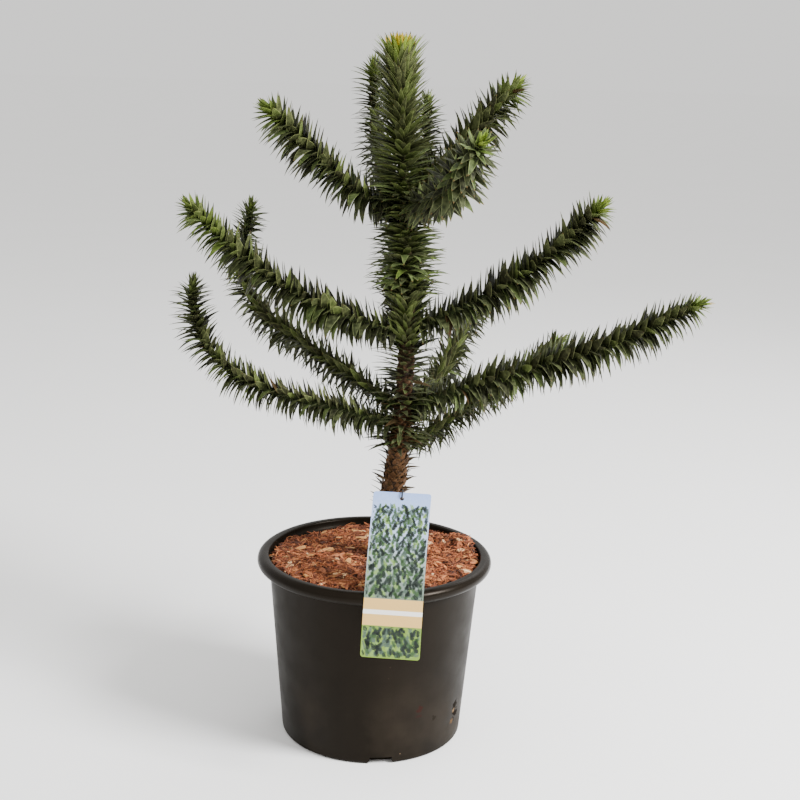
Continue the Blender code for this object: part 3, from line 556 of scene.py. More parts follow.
# Angles in degrees; the rise changes between two places along the bough. The last three say where
# its leaves are longest, and how much shorter they are at its foot and at its tip.
Bough = namedtuple("Bough", "name height azimuth sweep rise end_rise bend_from bend_to length radius "
                   "leaf fresh tip_tint fullest foot_shrink tip_shrink")
BOUGHS = [Bough(*row) for row in (
    ("low_left", 0.462, 184, -10, 14, 124, 0.39, 1.25, 0.402, 0.0066, SMALL, 0.03, 2.2, 0.55, 0.08, 0.08),
    ("low_back_left", 0.485, 154, -15, 24, 105, 0.53, 0.89, 0.448, 0.0066, SMALL, 0.05, 2.2,
     0.50, 0.15, 0.15),
    ("low_right", 0.488, -4, -5, 20, 29, 0.60, 0.85, 0.445, 0.0068, LARGE, 0.034, 4.0, 0.55, 0.27, 0.26),
    ("low_back_right", 0.438, 32, -5, -8, 28, -0.04, 0.25, 0.312, 0.0060, SMALL, 0.04, 2.6,
     0.55, 0.28, 0.20),
    ("low_back", 0.490, 62, 0, -9, 37, -0.14, 0.64, 0.279, 0.0060, SMALL, 0.05, 2.6, 0.50, 0.10, 0.15),
    ("middle_left", 0.596, 188, 0, 10, 46, -0.15, 1.02, 0.359, 0.0062, LARGE, 0.15, 2.6, 0.35, 0.18, 0.17),
    ("middle_right", 0.598, -10, 0, 25, 51, 0.04, 1.13, 0.329, 0.0062, LARGE, 0.034, 4.2,
     0.475, 0.28, 0.16),
    ("middle_back", 0.600, 93, 0, 20, 55, 0.00, 1.00, 0.280, 0.0058, LARGE, 0.05, 3.4, 0.50, 0.30, 0.20),
    ("top_left", 0.768, 186, 0, 18, 43, 0.16, 0.46, 0.238, 0.0050, LARGE, 0.05, 3.0, 0.70, 0.22, 0.00),
    ("top_back_right", 0.773, 22, 0, 45, 45, 0.00, 1.00, 0.238, 0.0050, LARGE, 0.06, 3.2,
     0.60, 0.22, 0.08),
    ("top_front_right", 0.768, -60, 0, 16, 42, 0.23, 0.72, 0.220, 0.0050, LARGE, 0.03, 4.2,
     0.62, 0.36, 0.12),
    ("top_right", 0.788, 74, 0, 2, 100, 0.12, 0.90, 0.212, 0.0048, SMALL, 0.05, 3.0, 0.50, 0.10, 0.10),
    ("top_back_left", 0.758, 112, 0, 28, 92, 0.03, 1.03, 0.261, 0.0048, SMALL, 0.05, 2.8,
     0.50, 0.10, 0.10))]


def trunk_centre(height):
    share = (height - SOIL_TOP) / (CROWN_TOP - SOIL_TOP)
    belly = 1.0 + TRUNK_BOW_SKEW * math.cos(math.pi * share)
    bow = TRUNK_BOW * belly * math.sin(math.pi * share)
    return Vector((mix(TRUNK_FOOT_X, TRUNK_TIP_X, share) + bow, 0.0, height))


def trunk_radius(height):
    distance = height - SOIL_TOP
    share = distance / (CROWN_TOP - SOIL_TOP)
    flare = FLARE_RADIUS * math.exp(-distance / FLARE_HEIGHT)
    return mix(TRUNK_FOOT_RADIUS, TRUNK_TIP_RADIUS, share) + flare


def smoothstep(share):
    share = min(max(share, 0.0), 1.0)
    return share * share * (3.0 - 2.0 * share)


def bough_line(bough):
    """Centreline from the trunk's axis: the rise eases from one value to the next."""
    step = bough.length / BOUGH_STEPS
    points = [trunk_centre(bough.height)]
    for index in range(BOUGH_STEPS):
        share = (index + 0.5) / BOUGH_STEPS
        turn = math.radians(bough.azimuth + bough.sweep * share)
        bend = smoothstep((share - bough.bend_from) / (bough.bend_to - bough.bend_from))
        rise = math.radians(mix(bough.rise, bough.end_rise, bend))
        level = Vector((math.cos(turn), math.sin(turn), 0.0))
        points.append(points[-1] + (level * math.cos(rise) + Vector((0, 0, math.sin(rise)))) * step)
    return points


def line_mesh(points, girths=None, closed=False):
    """A line of edges, with the limb's radius at each point as its attribute girth."""
    mesh = bpy.data.meshes.new("line")
    edges = [(index, (index + 1) % len(points)) for index in range(len(points))]
    mesh.from_pydata([tuple(point) for point in points], edges if closed else edges[:-1], [])
    if girths:
        mesh.attributes.new("girth", "FLOAT", "POINT").data.foreach_set("value", girths)
    return mesh


# Bark on a limb: a tube along its line, swollen by old leaf bases and cracked by its growth.
barking, add, g = new_tree("bark_on_a_limb", Int="Sides", Material="Bark",
                           Float="Step Lump_Size Lump_Height Crack_Size Crack_Depth")
limb = add("ResampleCurve LENGTH", add("MeshToCurve", g.Geometry), Length=g.Step)
girth = add("InputNamedAttribute FLOAT", "girth")
ring = add("CurvePrimitiveCircle", g.Sides, Radius=1.0)
limb = add("CurveToMesh", limb, ring, Scale=girth, Fill_Caps=True)
lumps, cracks = (add("Math DIVIDE", 1.0, size) for size in (g.Lump_Size, g.Crack_Size))
lumps = add("TexVoronoi", Scale=lumps, Randomness=0.85)
cracks = add("MapRange", add("TexVoronoi", Scale=cracks, feature="DISTANCE_TO_EDGE"), 0.0, 0.12)
swell = add("MapRange SMOOTHSTEP", lumps, 0.15, 0.75, 1.0, 0.0)
lift = add("Math MULTIPLY", swell, g.Lump_Height)
sunk = add("Math SUBTRACT", cracks, 1.0)
lift = add("Math MULTIPLY_ADD", sunk, g.Crack_Depth, lift)
# The relief is kept so that the bark material can paint shade into the cracks and low places.
relief = add("Math MULTIPLY", swell, cracks)
limb = add("StoreNamedAttribute FLOAT", limb, Name="relief", Value=relief)
offset = add("VectorMath SCALE", add("InputNormal"), lift)
limb = add("RealizeInstances", add("SetPosition", limb, Offset=offset))
limb = add("SetMaterial", limb, Material=g.Bark)
add("GroupOutput", limb)


def ragged_bark(name, ridge, shade_in_cracks, moss, moss_from, moss_to):
    """Young monkey puzzle bark: ridges of old leaf bases, with painted shade darkening its cracks, green
    where young.
    """
    material, add, shader, place = new_material(name)
    relief = add("Attribute", attribute_name="relief").outputs["Fac"]
    # Fibres 1.2 mm wide run through every ridge; drawn twice as coarse as they are.
    fibre = add("TexNoise", place, Scale=420.0, Detail=5.0)
    patch = add("TexNoise", place, Scale=75.0, Detail=3.0)
    # Painted shade: as the relief falls, the colour goes from the ridge tone to the near-black crack tone.
    share = add("Math MULTIPLY_ADD", add("Math MULTIPLY", relief, fibre), 1.3, patch)
    share = add("MapRange", share, 0.35, 1.25)
    tone = add("Mix RGBA", share, shade_in_cracks, ridge)
    height = add("SeparateXYZ", place).outputs["Z"]
    young = add("Math MULTIPLY", add("MapRange", height, moss_from, moss_to, 0.0, 1.7), patch)
    fill(shader, Base_Color=add("Mix RGBA", young, tone, moss), Roughness=0.9,
         Normal=add("Bump", Strength=0.6, Distance=0.0006, Height=fibre),
         Specular_IOR_Level=0.3)
    return material


heights = [mix(SOIL_TOP + GAP, TRUNK_TOP, step / TRUNK_STEPS) for step in range(TRUNK_STEPS + 1)]
guide = line_mesh([trunk_centre(height) for height in heights],
                  [trunk_radius(height) - TRUNK_RELIEF for height in heights])
trunk_bark = ragged_bark("ragged_trunk_bark", "664a33", "170f09", "2f3318", 0.54, 0.66)
mesh = grown(guide, barking, Sides=56, Step=0.0016, Lump_Size=0.0085, Lump_Height=0.0024,
             Crack_Size=0.0055, Crack_Depth=0.0012, Bark=trunk_bark)
finished("trunk_bark", mesh, "bark", "trunk")
bough_bark = ragged_bark("young_bough_bark", "3b3d22", "1b1d10", "323c1e", 0.30, 0.50)
for bough in BOUGHS:
    girths = [mix(bough.radius, BOUGH_TIP_RADIUS, step / BOUGH_STEPS) - BOUGH_RELIEF
              for step in range(BOUGH_STEPS + 1)]
    mesh = grown(line_mesh(bough_line(bough), girths), barking, Sides=20, Step=0.0024,
                 Lump_Size=0.0065, Lump_Height=0.0016, Crack_Size=0.0045, Crack_Depth=0.0005,
                 Bark=bough_bark)
    finished("limb_" + bough.name, mesh, "bark", "bough_" + bough.name)

# The leaves. Stiff, leathery, three-sided blades with a spine at the tip, set round each
# shoot at the golden angle; they close up into a fresh green tuft at its end.
LeafKind = namedtuple("LeafKind", "length width lean curl spacing")
LEAF_KINDS = {LARGE: LeafKind(0.042, 0.0164, 69, -32, 0.00096),
              SMALL: LeafKind(0.035, 0.0108, 69, -33, 0.00080)}
GOLDEN_ANGLE = math.pi * (3.0 - math.sqrt(5.0))
TUFT_LENGTH, TUFT_SPACING = 0.026, 0.0006
LEADER_TUFT_SPACING = 0.00026
ROOTED = 0.001                # how deep a leaf's foot starts inside its stem
SCALE_ROOTED = 0.0012
LEAFLESS = 0.020              # the length of a bough's foot, inside the trunk's own leaves
LIGHT_TWIST = 0.8             # how far a leaf at the side of a level shoot turns its face up
FLUSH_LENGTH = 0.120          # leaves grow larger and smaller again with each season's growth
FLUSH_SHARE = 0.07
UPPER_CURL = 0.05
UP, DOWN = (0.0, 0.0, 1.0), (0.0, 0.0, -1.0)
LEAF_POINTS = 7
LEAF_OUTLINE = ((0.0, 0.97), (0.14, 1.0), (0.36, 0.83), (0.6, 0.60), (0.8, 0.35), (0.93, 0.14),
                (1.0, 0.02))
# Colours of blade and margin, upper side and underside, from the oldest leaves to the newest.
# In the older tints the darker upper side is painted shade and the paler underside painted light.
LEAF_TINTS = ((("1d1f15", "767b59"), ("2d2e1e", "7b7f55")),
              (("2b311d", "858d60"), ("3f4529", "898f5c")),
              (("404d2a", "909d62"), ("505c2f", "929d5e")),
              (("506529", "94a454"), ("5a6c2e", "95a354")),
              (("7a9430", "a3b850"), ("7f9338", "a8b85a")),
              (("bb9a1a", "cdb236"), ("a8962a", "c2b040")))
NEWEST, DEAD = 5.0, 6.0       # the number of the newest leaves' tint, and one beyond it
# The trunk's own leaves: lowest and highest foot, spacing, length, width, lean in degrees and how
# much more it is low down, curl in degrees, length of the tuft, how far the feet stand off, how far
# from the top they are fresh, tint of the old and of the top ones, and the share that is dead.
Sleeve = namedtuple("Sleeve", "name low high spacing length width lean reflex curl tuft thicken fresh "
                    "age tint dead")
SLEEVES = [Sleeve(*row) for row in (
    ("trunk_foot", 0.338, 0.470, 0.0014, 0.021, 0.0075, 62, 0.05, -22, 0, 0, 0, 0, 0.0, 1.0),
    ("trunk_low", 0.432, 0.516, 0.0005, 0.040, 0.0092, 72, 0.12, -34, 0, 0.001, 0, 0.8, 0.8, 0.05),
    ("trunk_high", 0.650, 0.800, 0.00055, 0.048, 0.0136, 62, 0.06, -46, 0, 0.001, 0, 1.8, 1.8, 0),
    ("leader", 0.785, 0.984, 0.00046, 0.045, 0.0104, 51, 0.60, -20, 0.022, 0.0046, 0.038, 1.5, 5.4, 0),
    ("leader_heart", 0.950, 0.974, 0.00048, 0.029, 0.0072, 9, 0.80, -10, 0, -0.0030, 0.024,
     5.0, 5.0, 0),
    ("trunk_bare", 0.516, 0.582, 0.0008, 0.039, 0.0090, 70, 0.12, -30, 0, 0.001, 0, 0.8, 0.8, 0.05),
    ("trunk_waist", 0.580, 0.658, 0.0005, 0.041, 0.0090, 44, 0.06, -26, 0, 0.001, 0, 1.6, 2.0, 0))]
SCALES_FROM, SCALES_TO = 0.004, 0.215    # above the soil
GUIDE_STEPS = 70

leafing, add, g = new_tree(
    "leaves_in_a_spiral", Vector="Side", Int="Seed", Object="Keep_Clear", Material="Dry",
    Float="Start End Spacing Tuft_Length Tuft_Spacing Start_Radius End_Radius Leaf_Length Leaf_Width "
          "Lean Tuft_Lean Tuft_Scale Curl Droop Sag Upper_Shortening Reflex Fullest Foot_Shrink "
          "Tip_Shrink Fresh_Length Age_Tint Fresh_Tint Dead_Share Clear_Radius")
# Stations up the shoot, closer together in the tuft.
shoot = add("MeshToCurve", g.Geometry)
body_end = add("Math SUBTRACT", g.End, g.Tuft_Length)
body = add("Math SUBTRACT", body_end, g.Start)
body_count, tuft_count = (
    add("Math FLOOR", add("Math DIVIDE", length, spacing))
    for length, spacing in ((body, g.Spacing), (g.Tuft_Length, g.Tuft_Spacing)))
stations = add("Points", add("Math ADD", body_count, tuft_count))
index = add("InputIndex")
up_body = add("Math MULTIPLY_ADD", index, g.Spacing, g.Start)
in_tuft = add("Math SUBTRACT", index, body_count)
up_tuft = add("Math MULTIPLY_ADD", in_tuft, g.Tuft_Spacing, body_end)
is_tuft = add("Compare GREATER_EQUAL", in_tuft, 0.0)
distance = add("Switch FLOAT", is_tuft, up_body, up_tuft)
closed = add("MapRange SMOOTHSTEP", distance, body_end, g.End)
sample = add("SampleCurve LENGTH", shoot, Length=distance)
centre, axis = sample.outputs["Position"], sample.outputs["Tangent"]
# Chance in each leaf, from low to high, with a seed of its own for each but the shade.
chance = {}
for name, own_seed, low, high in (
        ("turn", 0.0, -0.13, 0.13), ("lean", 100.0, -0.13, 0.13), ("size", 200.0, 0.84, 1.06),
        ("tint", 300.0, -0.9, 0.9), ("death", 400.0, 0.0, 1.0), ("curl", 500.0, 0.55, 1.35),
        ("twist", 600.0, -0.38, 0.38), ("shade", 0.0, 0.0, 1.0)):
    seed = add("Math ADD", g.Seed, own_seed)
    chance[name] = add("RandomValue", low, high, Seed=seed)
# Direction of each leaf, by the golden angle.
turn = add("Math MULTIPLY_ADD", index, GOLDEN_ANGLE, chance["turn"])
side = add("VectorMath CROSS_PRODUCT", add("VectorMath CROSS_PRODUCT", axis, g.Side), axis)
outward = add("VectorMath NORMALIZE", add("VectorRotate", side, Axis=axis, Angle=turn))
height = add("SeparateXYZ", outward).outputs["Z"]
most, least = (add("Math " + way, 1.0, g.Reflex) for way in ("ADD", "SUBTRACT"))
lean = add("Math MULTIPLY", add("MapRange", distance, g.Start, g.End, most, least), g.Lean)
lean = add("Math ADD", add("Mix", closed, lean, g.Tuft_Lean), chance["lean"])
lean = add("Math SUBTRACT", lean, add("Math MULTIPLY", height, g.Droop))
# A leaf at the side of a level shoot also sags round it, and twists its upper face to the light.
at_side = add("Math SUBTRACT", 1.0, add("Math ABSOLUTE", height))
sagged = add("VectorMath SCALE", DOWN, add("Math MULTIPLY", at_side, g.Sag))
sagged = add("VectorMath ADD", outward, sagged)
across = add("VectorMath NORMALIZE", add("VectorMath CROSS_PRODUCT", axis, sagged))
ahead = add("VectorRotate", axis, Axis=across, Angle=lean)
face = add("VectorMath CROSS_PRODUCT", ahead, across)
lit = add("VectorMath DOT_PRODUCT", UP, ahead).outputs["Value"]
lit = add("VectorMath SUBTRACT", UP, add("VectorMath SCALE", ahead, lit))
lit_share = add("Math MULTIPLY", at_side, LIGHT_TWIST)
face = add("Mix VECTOR", lit_share, face, lit)
across = add("VectorMath NORMALIZE", add("VectorMath CROSS_PRODUCT", face, ahead))
across = add("VectorRotate", across, Axis=ahead, Angle=chance["twist"])
# Size: by chance, by season, less towards the shoot's two ends, and less on its upper side.
season = add("Math SUBTRACT", distance, g.Fullest)
season = add("Math COSINE", add("Math MULTIPLY", season, math.tau / FLUSH_LENGTH))
shares = [chance["size"], add("Math MULTIPLY_ADD", season, FLUSH_SHARE, 1.0)]
lacks = [(add("Math POWER", add("MapRange", distance, g.Fullest, end), 2.0), shrink)
         for end, shrink in ((g.Start, g.Foot_Shrink), (g.End, g.Tip_Shrink))]
for lack, strength in lacks + [(add("Math MAXIMUM", height, 0.0), g.Upper_Shortening)]:
    lack = add("Math MULTIPLY", lack, strength)
    shares.append(add("Math SUBTRACT", 1.0, lack))
size = add("Mix", closed, 1.0, g.Tuft_Scale)
for share in shares:
    size = add("Math MULTIPLY", size, share)
length = add("Math MULTIPLY", size, g.Leaf_Length)
width = add("Math MULTIPLY", add("Math POWER", size, 1.5), g.Leaf_Width)
radius = add("MapRange", distance, 0.0, g.End, g.Start_Radius, g.End_Radius)
foot = add("VectorMath ADD", centre, add("VectorMath SCALE", outward, radius))
stations = add("SetPosition", stations, Position=foot)
# Leaves whose tips would run into the trunk are left out.
tip = add("VectorMath ADD", foot, add("VectorMath SCALE", ahead, length))
trunk = add("ObjectInfo", g.Keep_Clear).outputs["Geometry"]
near = add("Proximity", trunk, Sample_Position=tip, target_element="EDGES")
too_near = add("Compare LESS_THAN", near.outputs["Distance"], g.Clear_Radius)
# Tint of each leaf: dark where old, bright in the tuft, and a few dead and brown.
tint = add("Math SUBTRACT", g.End, g.Fresh_Length)
tint = add("MapRange SMOOTHSTEP", distance, tint, g.End, g.Age_Tint, g.Fresh_Tint)
tint = add("Math ADD", tint, chance["tint"])
tint = add("Math ROUND", add("Clamp", tint, 0.0, NEWEST))
is_dead = add("Compare LESS_THAN", chance["death"], g.Dead_Share)
tint = add("Switch FLOAT", is_dead, tint, DEAD)
# A leaf on top of a level shoot stands straight; the lower it sits, the more it bends back.
curl = add("Math MULTIPLY", g.Curl, chance["curl"])
open_share = add("MapRange", closed, To_Min=1.0, To_Max=0.2)
upper_share = add("MapRange", height, 0.0, 0.8, 1.0, UPPER_CURL)
for share in (open_share, upper_share):
    curl = add("Math MULTIPLY", curl, share)
stations = add("StoreNamedAttribute FLOAT", stations, Name="shade", Value=chance["shade"])
leaf = SimpleNamespace(foot=foot, ahead=ahead, across=across, length=length, width=width,
                       curl=curl, tint=tint)
for name, value in vars(leaf).items():
    kind = "FLOAT_VECTOR" if name in ("foot", "ahead", "across") else "FLOAT"
    stations = add("StoreNamedAttribute " + kind, stations, Name="leaf_" + name, Value=value)
    setattr(leaf, name, add("InputNamedAttribute " + kind, "leaf_" + name))
stations = add("DeleteGeometry", stations, too_near)
# Each leaf: a midrib bent in an arc, swept with a kite, nearly flat above and keeled below.
midrib = add("CurvePrimitiveLine", End=(0.001, 0.0, 0.0))
midrib = add("ResampleCurve", midrib, Count=LEAF_POINTS)
leaves = add("RealizeInstances", add("InstanceOnPoints", stations, Instance=midrib))
along = add("Math SUBTRACT", 1.0, add("SplineParameter"))
along = add("Math SUBTRACT", 1.0, add("Math POWER", along, 1.5))
leaves = add("StoreNamedAttribute FLOAT", leaves, Name="leaf_along", Value=along)
along, rim, depth = (add("InputNamedAttribute FLOAT", "leaf_" + name)
                     for name in ("along", "rim", "depth"))
half_bend = add("Math MULTIPLY", add("Math MULTIPLY", leaf.curl, along), -0.5)
chord = add("VectorRotate", leaf.ahead, Axis=leaf.across, Angle=half_bend)
reach = add("Math MULTIPLY", along, leaf.length)
chord = add("VectorMath ADD", leaf.foot, add("VectorMath SCALE", chord, reach))
leaves = add("SetPosition", leaves, Position=chord)
leaves = add("SetCurveNormal FREE", leaves, Normal=leaf.across)
outline = add("FloatCurve", Value=along)
points = outline.mapping.curves[0].points
points[0].location, points[1].location = LEAF_OUTLINE[0], LEAF_OUTLINE[-1]
for share in LEAF_OUTLINE[1:-1]:
    points.new(*share)
outline.mapping.update()
spread = add("Math MULTIPLY", outline, leaf.width)
kite = add("CurvePrimitiveQuadrilateral KITE", Width=1.0, Bottom_Height=0.16, Top_Height=0.05)
corner = add("SeparateXYZ", add("InputPosition")).outputs
for name, place in (("leaf_rim", "X"), ("leaf_depth", "Y")):
    kite = add("StoreNamedAttribute FLOAT", kite, Name=name, Value=corner[place])
leaves = add("CurveToMesh", leaves, kite, Scale=spread, Fill_Caps=True)
# The two margins are sharp; the own map runs across and along each blade.
on_margin = add("Compare GREATER_THAN", add("Math ABSOLUTE", rim), 0.49)
leaves = add("SetShadeSmooth", leaves, on_margin, Shade_Smooth=False, domain="EDGE")
own_map = add("CombineXYZ", add("Math ADD", rim, 0.5), along)
leaves = add("StoreNamedAttribute FLOAT2", leaves, Name="UVMap", Value=own_map, domain="CORNER")
leaves = add("RealizeInstances", leaves)


def leathery_leaf(name, blade, margin):
    """A waxy, leathery blade: satin, faintly ribbed along it, with a pale horny margin."""
    material, add, shader, place = new_material(name)
    across = add("SeparateXYZ", add("UVMap", uv_map="UVMap")).outputs["X"]
    own_shade = add("Attribute", attribute_name="shade").outputs["Fac"]
    dull = add("Mix RGBA", 0.45, blade, "1c1b12")
    tone = add("Mix RGBA", own_shade, dull, blade)
    blotch = add("TexNoise", place, Scale=160.0, Detail=3.0)
    blotch = add("MapRange", blotch, 0.4, 0.7, 0.0, 0.25)
    edge = add("Math ABSOLUTE", add("Math SUBTRACT", across, 0.5))
    edge = add("MapRange", edge, 0.42, 0.46, 0.0, 0.65)
    for share in (blotch, edge):
        tone = add("Mix RGBA", share, tone, margin)
    # Some 24 fine veins run along the blade; drawn as 9 so that they show.
    veins = add("Math SINE", add("Math MULTIPLY", across, 9 * math.tau))
    fill(shader, Base_Color=tone, Roughness=0.46, Specular_IOR_Level=0.08,
         Normal=add("Bump", Strength=0.35, Distance=0.0003, Height=veins))
    return material


coats = []
underside = add("Compare LESS_THAN", depth, 0.0)
# Each tint has an upper and an underside copy: in the older tints the darker upper copy carries painted
# shade, the paler underside painted light.
for number, (upper, under) in enumerate(LEAF_TINTS):
    of_tint = add("Compare EQUAL", leaf.tint, number, Epsilon=0.4)
    coats.append((of_tint, leathery_leaf("leathery_leaf_upper_%d" % number, *upper)))
    of_tint = add("BooleanMath AND", of_tint, underside)
    coats.append((of_tint, leathery_leaf("leathery_leaf_under_%d" % number, *under)))
# The newest leaves are yellow from halfway out only.
newest, dry = (add("Compare GREATER_THAN", leaf.tint, limit - 0.5) for limit in (NEWEST, DEAD))
inner = add("BooleanMath AND", newest, add("Compare LESS_THAN", along, 0.45))
at_tip = add("Compare GREATER_THAN", along, 0.955)
coats += [(inner, bpy.data.materials["leathery_leaf_upper_4"]),
          (at_tip, leathery_leaf("horny_leaf_spine", "57472a", "76663c")), (dry, g.Dry)]
for selection, material in coats:
    leaves = add("SetMaterial", leaves, selection, material)
leaves = add("RemoveAttribute", leaves, Name="leaf_*", pattern_mode="WILDCARD")
add("GroupOutput", leaves)


def leafed(name, mesh, slot):
    """Leaves as a piece, which stands for the foliage of that name and for its end."""
    nodes = ("foliage_" + name, "foliage_" + name + "_end")
    finished("leaves_" + name, mesh, slot, *[node for node in frame["nodes"] if node in nodes])


dry_leaf = leathery_leaf("dry_brown_leaf", "3b2d1b", "6e5a3c")
trunk_guide = [trunk_centre(mix(SOIL_TOP, CROWN_TOP, step / GUIDE_STEPS))
               for step in range(GUIDE_STEPS + 1)]
trunk_line = linked("trunk_line", line_mesh(trunk_guide))
for number, bough in enumerate(BOUGHS):
    kind = LEAF_KINDS[bough.leaf]
    azimuth = math.radians(bough.azimuth + bough.sweep / 2)
    leafed(bough.name, grown(
        line_mesh(bough_line(bough)), leafing, Start=LEAFLESS, End=bough.length,
        Spacing=kind.spacing, Tuft_Length=TUFT_LENGTH, Tuft_Spacing=TUFT_SPACING,
        Side=(-math.sin(azimuth), math.cos(azimuth), 0.0), Start_Radius=bough.radius - ROOTED,
        End_Radius=BOUGH_TIP_RADIUS - ROOTED, Leaf_Length=kind.length, Leaf_Width=kind.width,
        Lean=math.radians(kind.lean), Tuft_Lean=math.radians(13), Tuft_Scale=0.48,
        Curl=math.radians(kind.curl), Droop=math.radians(14), Sag=0.5, Upper_Shortening=0.10,
        Reflex=0.12, Fullest=bough.fullest * bough.length, Foot_Shrink=bough.foot_shrink,
        Tip_Shrink=bough.tip_shrink, Fresh_Length=bough.fresh, Age_Tint=0.9,
        Fresh_Tint=bough.tip_tint, Dead_Share=0.004, Keep_Clear=trunk_line, Clear_Radius=0.016,
        Seed=10 + number, Dry=dry_leaf), "leaf")
bpy.data.objects.remove(trunk_line)
for number, sleeve in enumerate(SLEEVES):
    leafed(sleeve.name, grown(
        line_mesh(trunk_guide), leafing, Start=sleeve.low - SOIL_TOP, End=sleeve.high - SOIL_TOP,
        Spacing=sleeve.spacing, Tuft_Length=sleeve.tuft, Tuft_Spacing=LEADER_TUFT_SPACING,
        Side=(1.0, 0.0, 0.0), Start_Radius=TRUNK_FOOT_RADIUS - ROOTED,
        End_Radius=trunk_radius(sleeve.high) + sleeve.thicken - ROOTED, Leaf_Length=sleeve.length,
        Leaf_Width=sleeve.width, Lean=math.radians(sleeve.lean), Tuft_Lean=math.radians(8),
        Tuft_Scale=0.52, Curl=math.radians(sleeve.curl), Reflex=sleeve.reflex,
        Fullest=sleeve.high - SOIL_TOP, Fresh_Length=sleeve.fresh, Age_Tint=sleeve.age,
        Fresh_Tint=sleeve.tint, Dead_Share=sleeve.dead, Seed=50 + number, Dry=dry_leaf),
           "dead_leaf" if sleeve.dead == 1.0 else "leaf")
# Short brown stubs of fallen leaves scale the lower trunk.
mesh = grown(
    line_mesh(trunk_guide), leafing, Start=SCALES_FROM, End=SCALES_TO, Spacing=0.00055,
    Tuft_Spacing=TUFT_SPACING, Side=(1.0, 0.0, 0.0), Start_Radius=TRUNK_FOOT_RADIUS - SCALE_ROOTED,
    End_Radius=trunk_radius(SOIL_TOP + SCALES_TO) - SCALE_ROOTED, Leaf_Length=0.0090,
    Leaf_Width=0.0080, Lean=math.radians(20), Tuft_Scale=1.0, Curl=math.radians(-18),
    Dead_Share=1.0, Seed=70, Dry=leathery_leaf("dry_bark_scale", "573c27", "8c6746"))
finished("bark_scales", mesh, "bark")

# The label card. A printed polypropylene card, 80 by 228 mm, with rounded corners and a hung
# hole; it leans from the trunk over the rim. Its print is a plain pattern of leaf sprigs.
CARD_WIDTH, CARD_LENGTH, CARD_THICKNESS = 0.080, 0.2285, 0.0008
CARD_TOP = Vector((0.0368, -0.0893, 0.3897))
CARD_HEADING = math.radians(-96.4)
CARD_SLOPES = (math.radians(50), math.radians(70))
CARD_STEPS, CARD_CUTS = 20, 46
CARD_CORNER, CORNER_POINTS = 0.004, 8
HOLE_RADIUS, HOLE_FROM_TOP, HOLE_POINTS = 0.0030, 0.0090, 28
# Printed grounds across the card, from and to how far down: a tan band, its white line, and the
# green foot. The rest is a ground that goes from sky blue down to leaf green.
BAND_TOP, BAND_BOTTOM = 0.150, 0.186
LINE_WIDTH = 0.006
LINE_TOP = (BAND_TOP + BAND_BOTTOM - LINE_WIDTH) / 2
CARD_PANELS = ((BAND_TOP, BAND_BOTTOM, "tan", "d9b36c", "cda55e"),
               (LINE_TOP, LINE_TOP + LINE_WIDTH, "white", "eceae4", "e2e0da"),
               (BAND_BOTTOM, CARD_LENGTH, "green", "7c9838", "638034"))
SKY_STOPS = ((0.0, "8aa6dc"), (0.22, "a6b9da"), (0.42, "8b9a98"), (0.62, "5b6c5c"), (1.0, "6a8048"))
# Inks of the sprigs, from the darkest: name, two colours, and how often it is drawn.
INKS = (("deep_green", "121c18", "1c2721", 4), ("green", "2f4829", "3a5531", 3),
        ("grey_green", "42554a", "506356", 3), ("light_green", "6f9046", "80a058", 2))
INK_DEPTH, INK_HEIGHT, INK_STEP = 0.0001, 0.00006, 0.00001
PRINT_ZONES = ((0.0165, BAND_TOP - 0.0005), (BAND_BOTTOM + 0.0005, CARD_LENGTH - 0.001))
PRINT_MARGIN = 0.001
FIRST_ROW, LAST_ROW = 0.020, CARD_LENGTH - 0.004
SPRIG_SIZES = (0.0085, 0.0125)
SPRIG_PAIRS = 5
ROW_PITCH, SPRIG_PITCH = 0.42, 0.40    # as shares of a sprig's size
SPARSE = 0.22                          # the share of sprigs left out at the top

card_ahead = Vector((math.cos(CARD_HEADING), math.sin(CARD_HEADING), 0.0))
card_across = Vector((-math.sin(CARD_HEADING), math.cos(CARD_HEADING), 0.0))
card_points = [CARD_TOP.copy()]
card_directions = []
for index in range(CARD_STEPS):
    slope = mix(*CARD_SLOPES, smoothstep((index + 0.5) / CARD_STEPS))
    card_directions.append(card_ahead * math.cos(slope) - Vector((0, 0, math.sin(slope))))
    card_points.append(card_points[-1] + card_directions[-1] * CARD_LENGTH / CARD_STEPS)


def on_card(down, sideways, height):
    """A point by its distance down the card, across it, and off its middle plane."""
    kept = min(max(down, 0.0), CARD_LENGTH)
    place = kept / CARD_LENGTH * CARD_STEPS
    step = min(int(place), CARD_STEPS - 1)
    before = step - 1 if place - step < 0.5 else step
    share = place - step + (0.5 if before < step else -0.5)
    along = card_directions[max(before, 0)].lerp(
        card_directions[min(before + 1, CARD_STEPS - 1)], share).normalized()
    middle = card_points[step].lerp(card_points[step + 1], place - step)
    return (middle + along * (down - kept) + card_across * sideways
            + along.cross(card_across) * height)


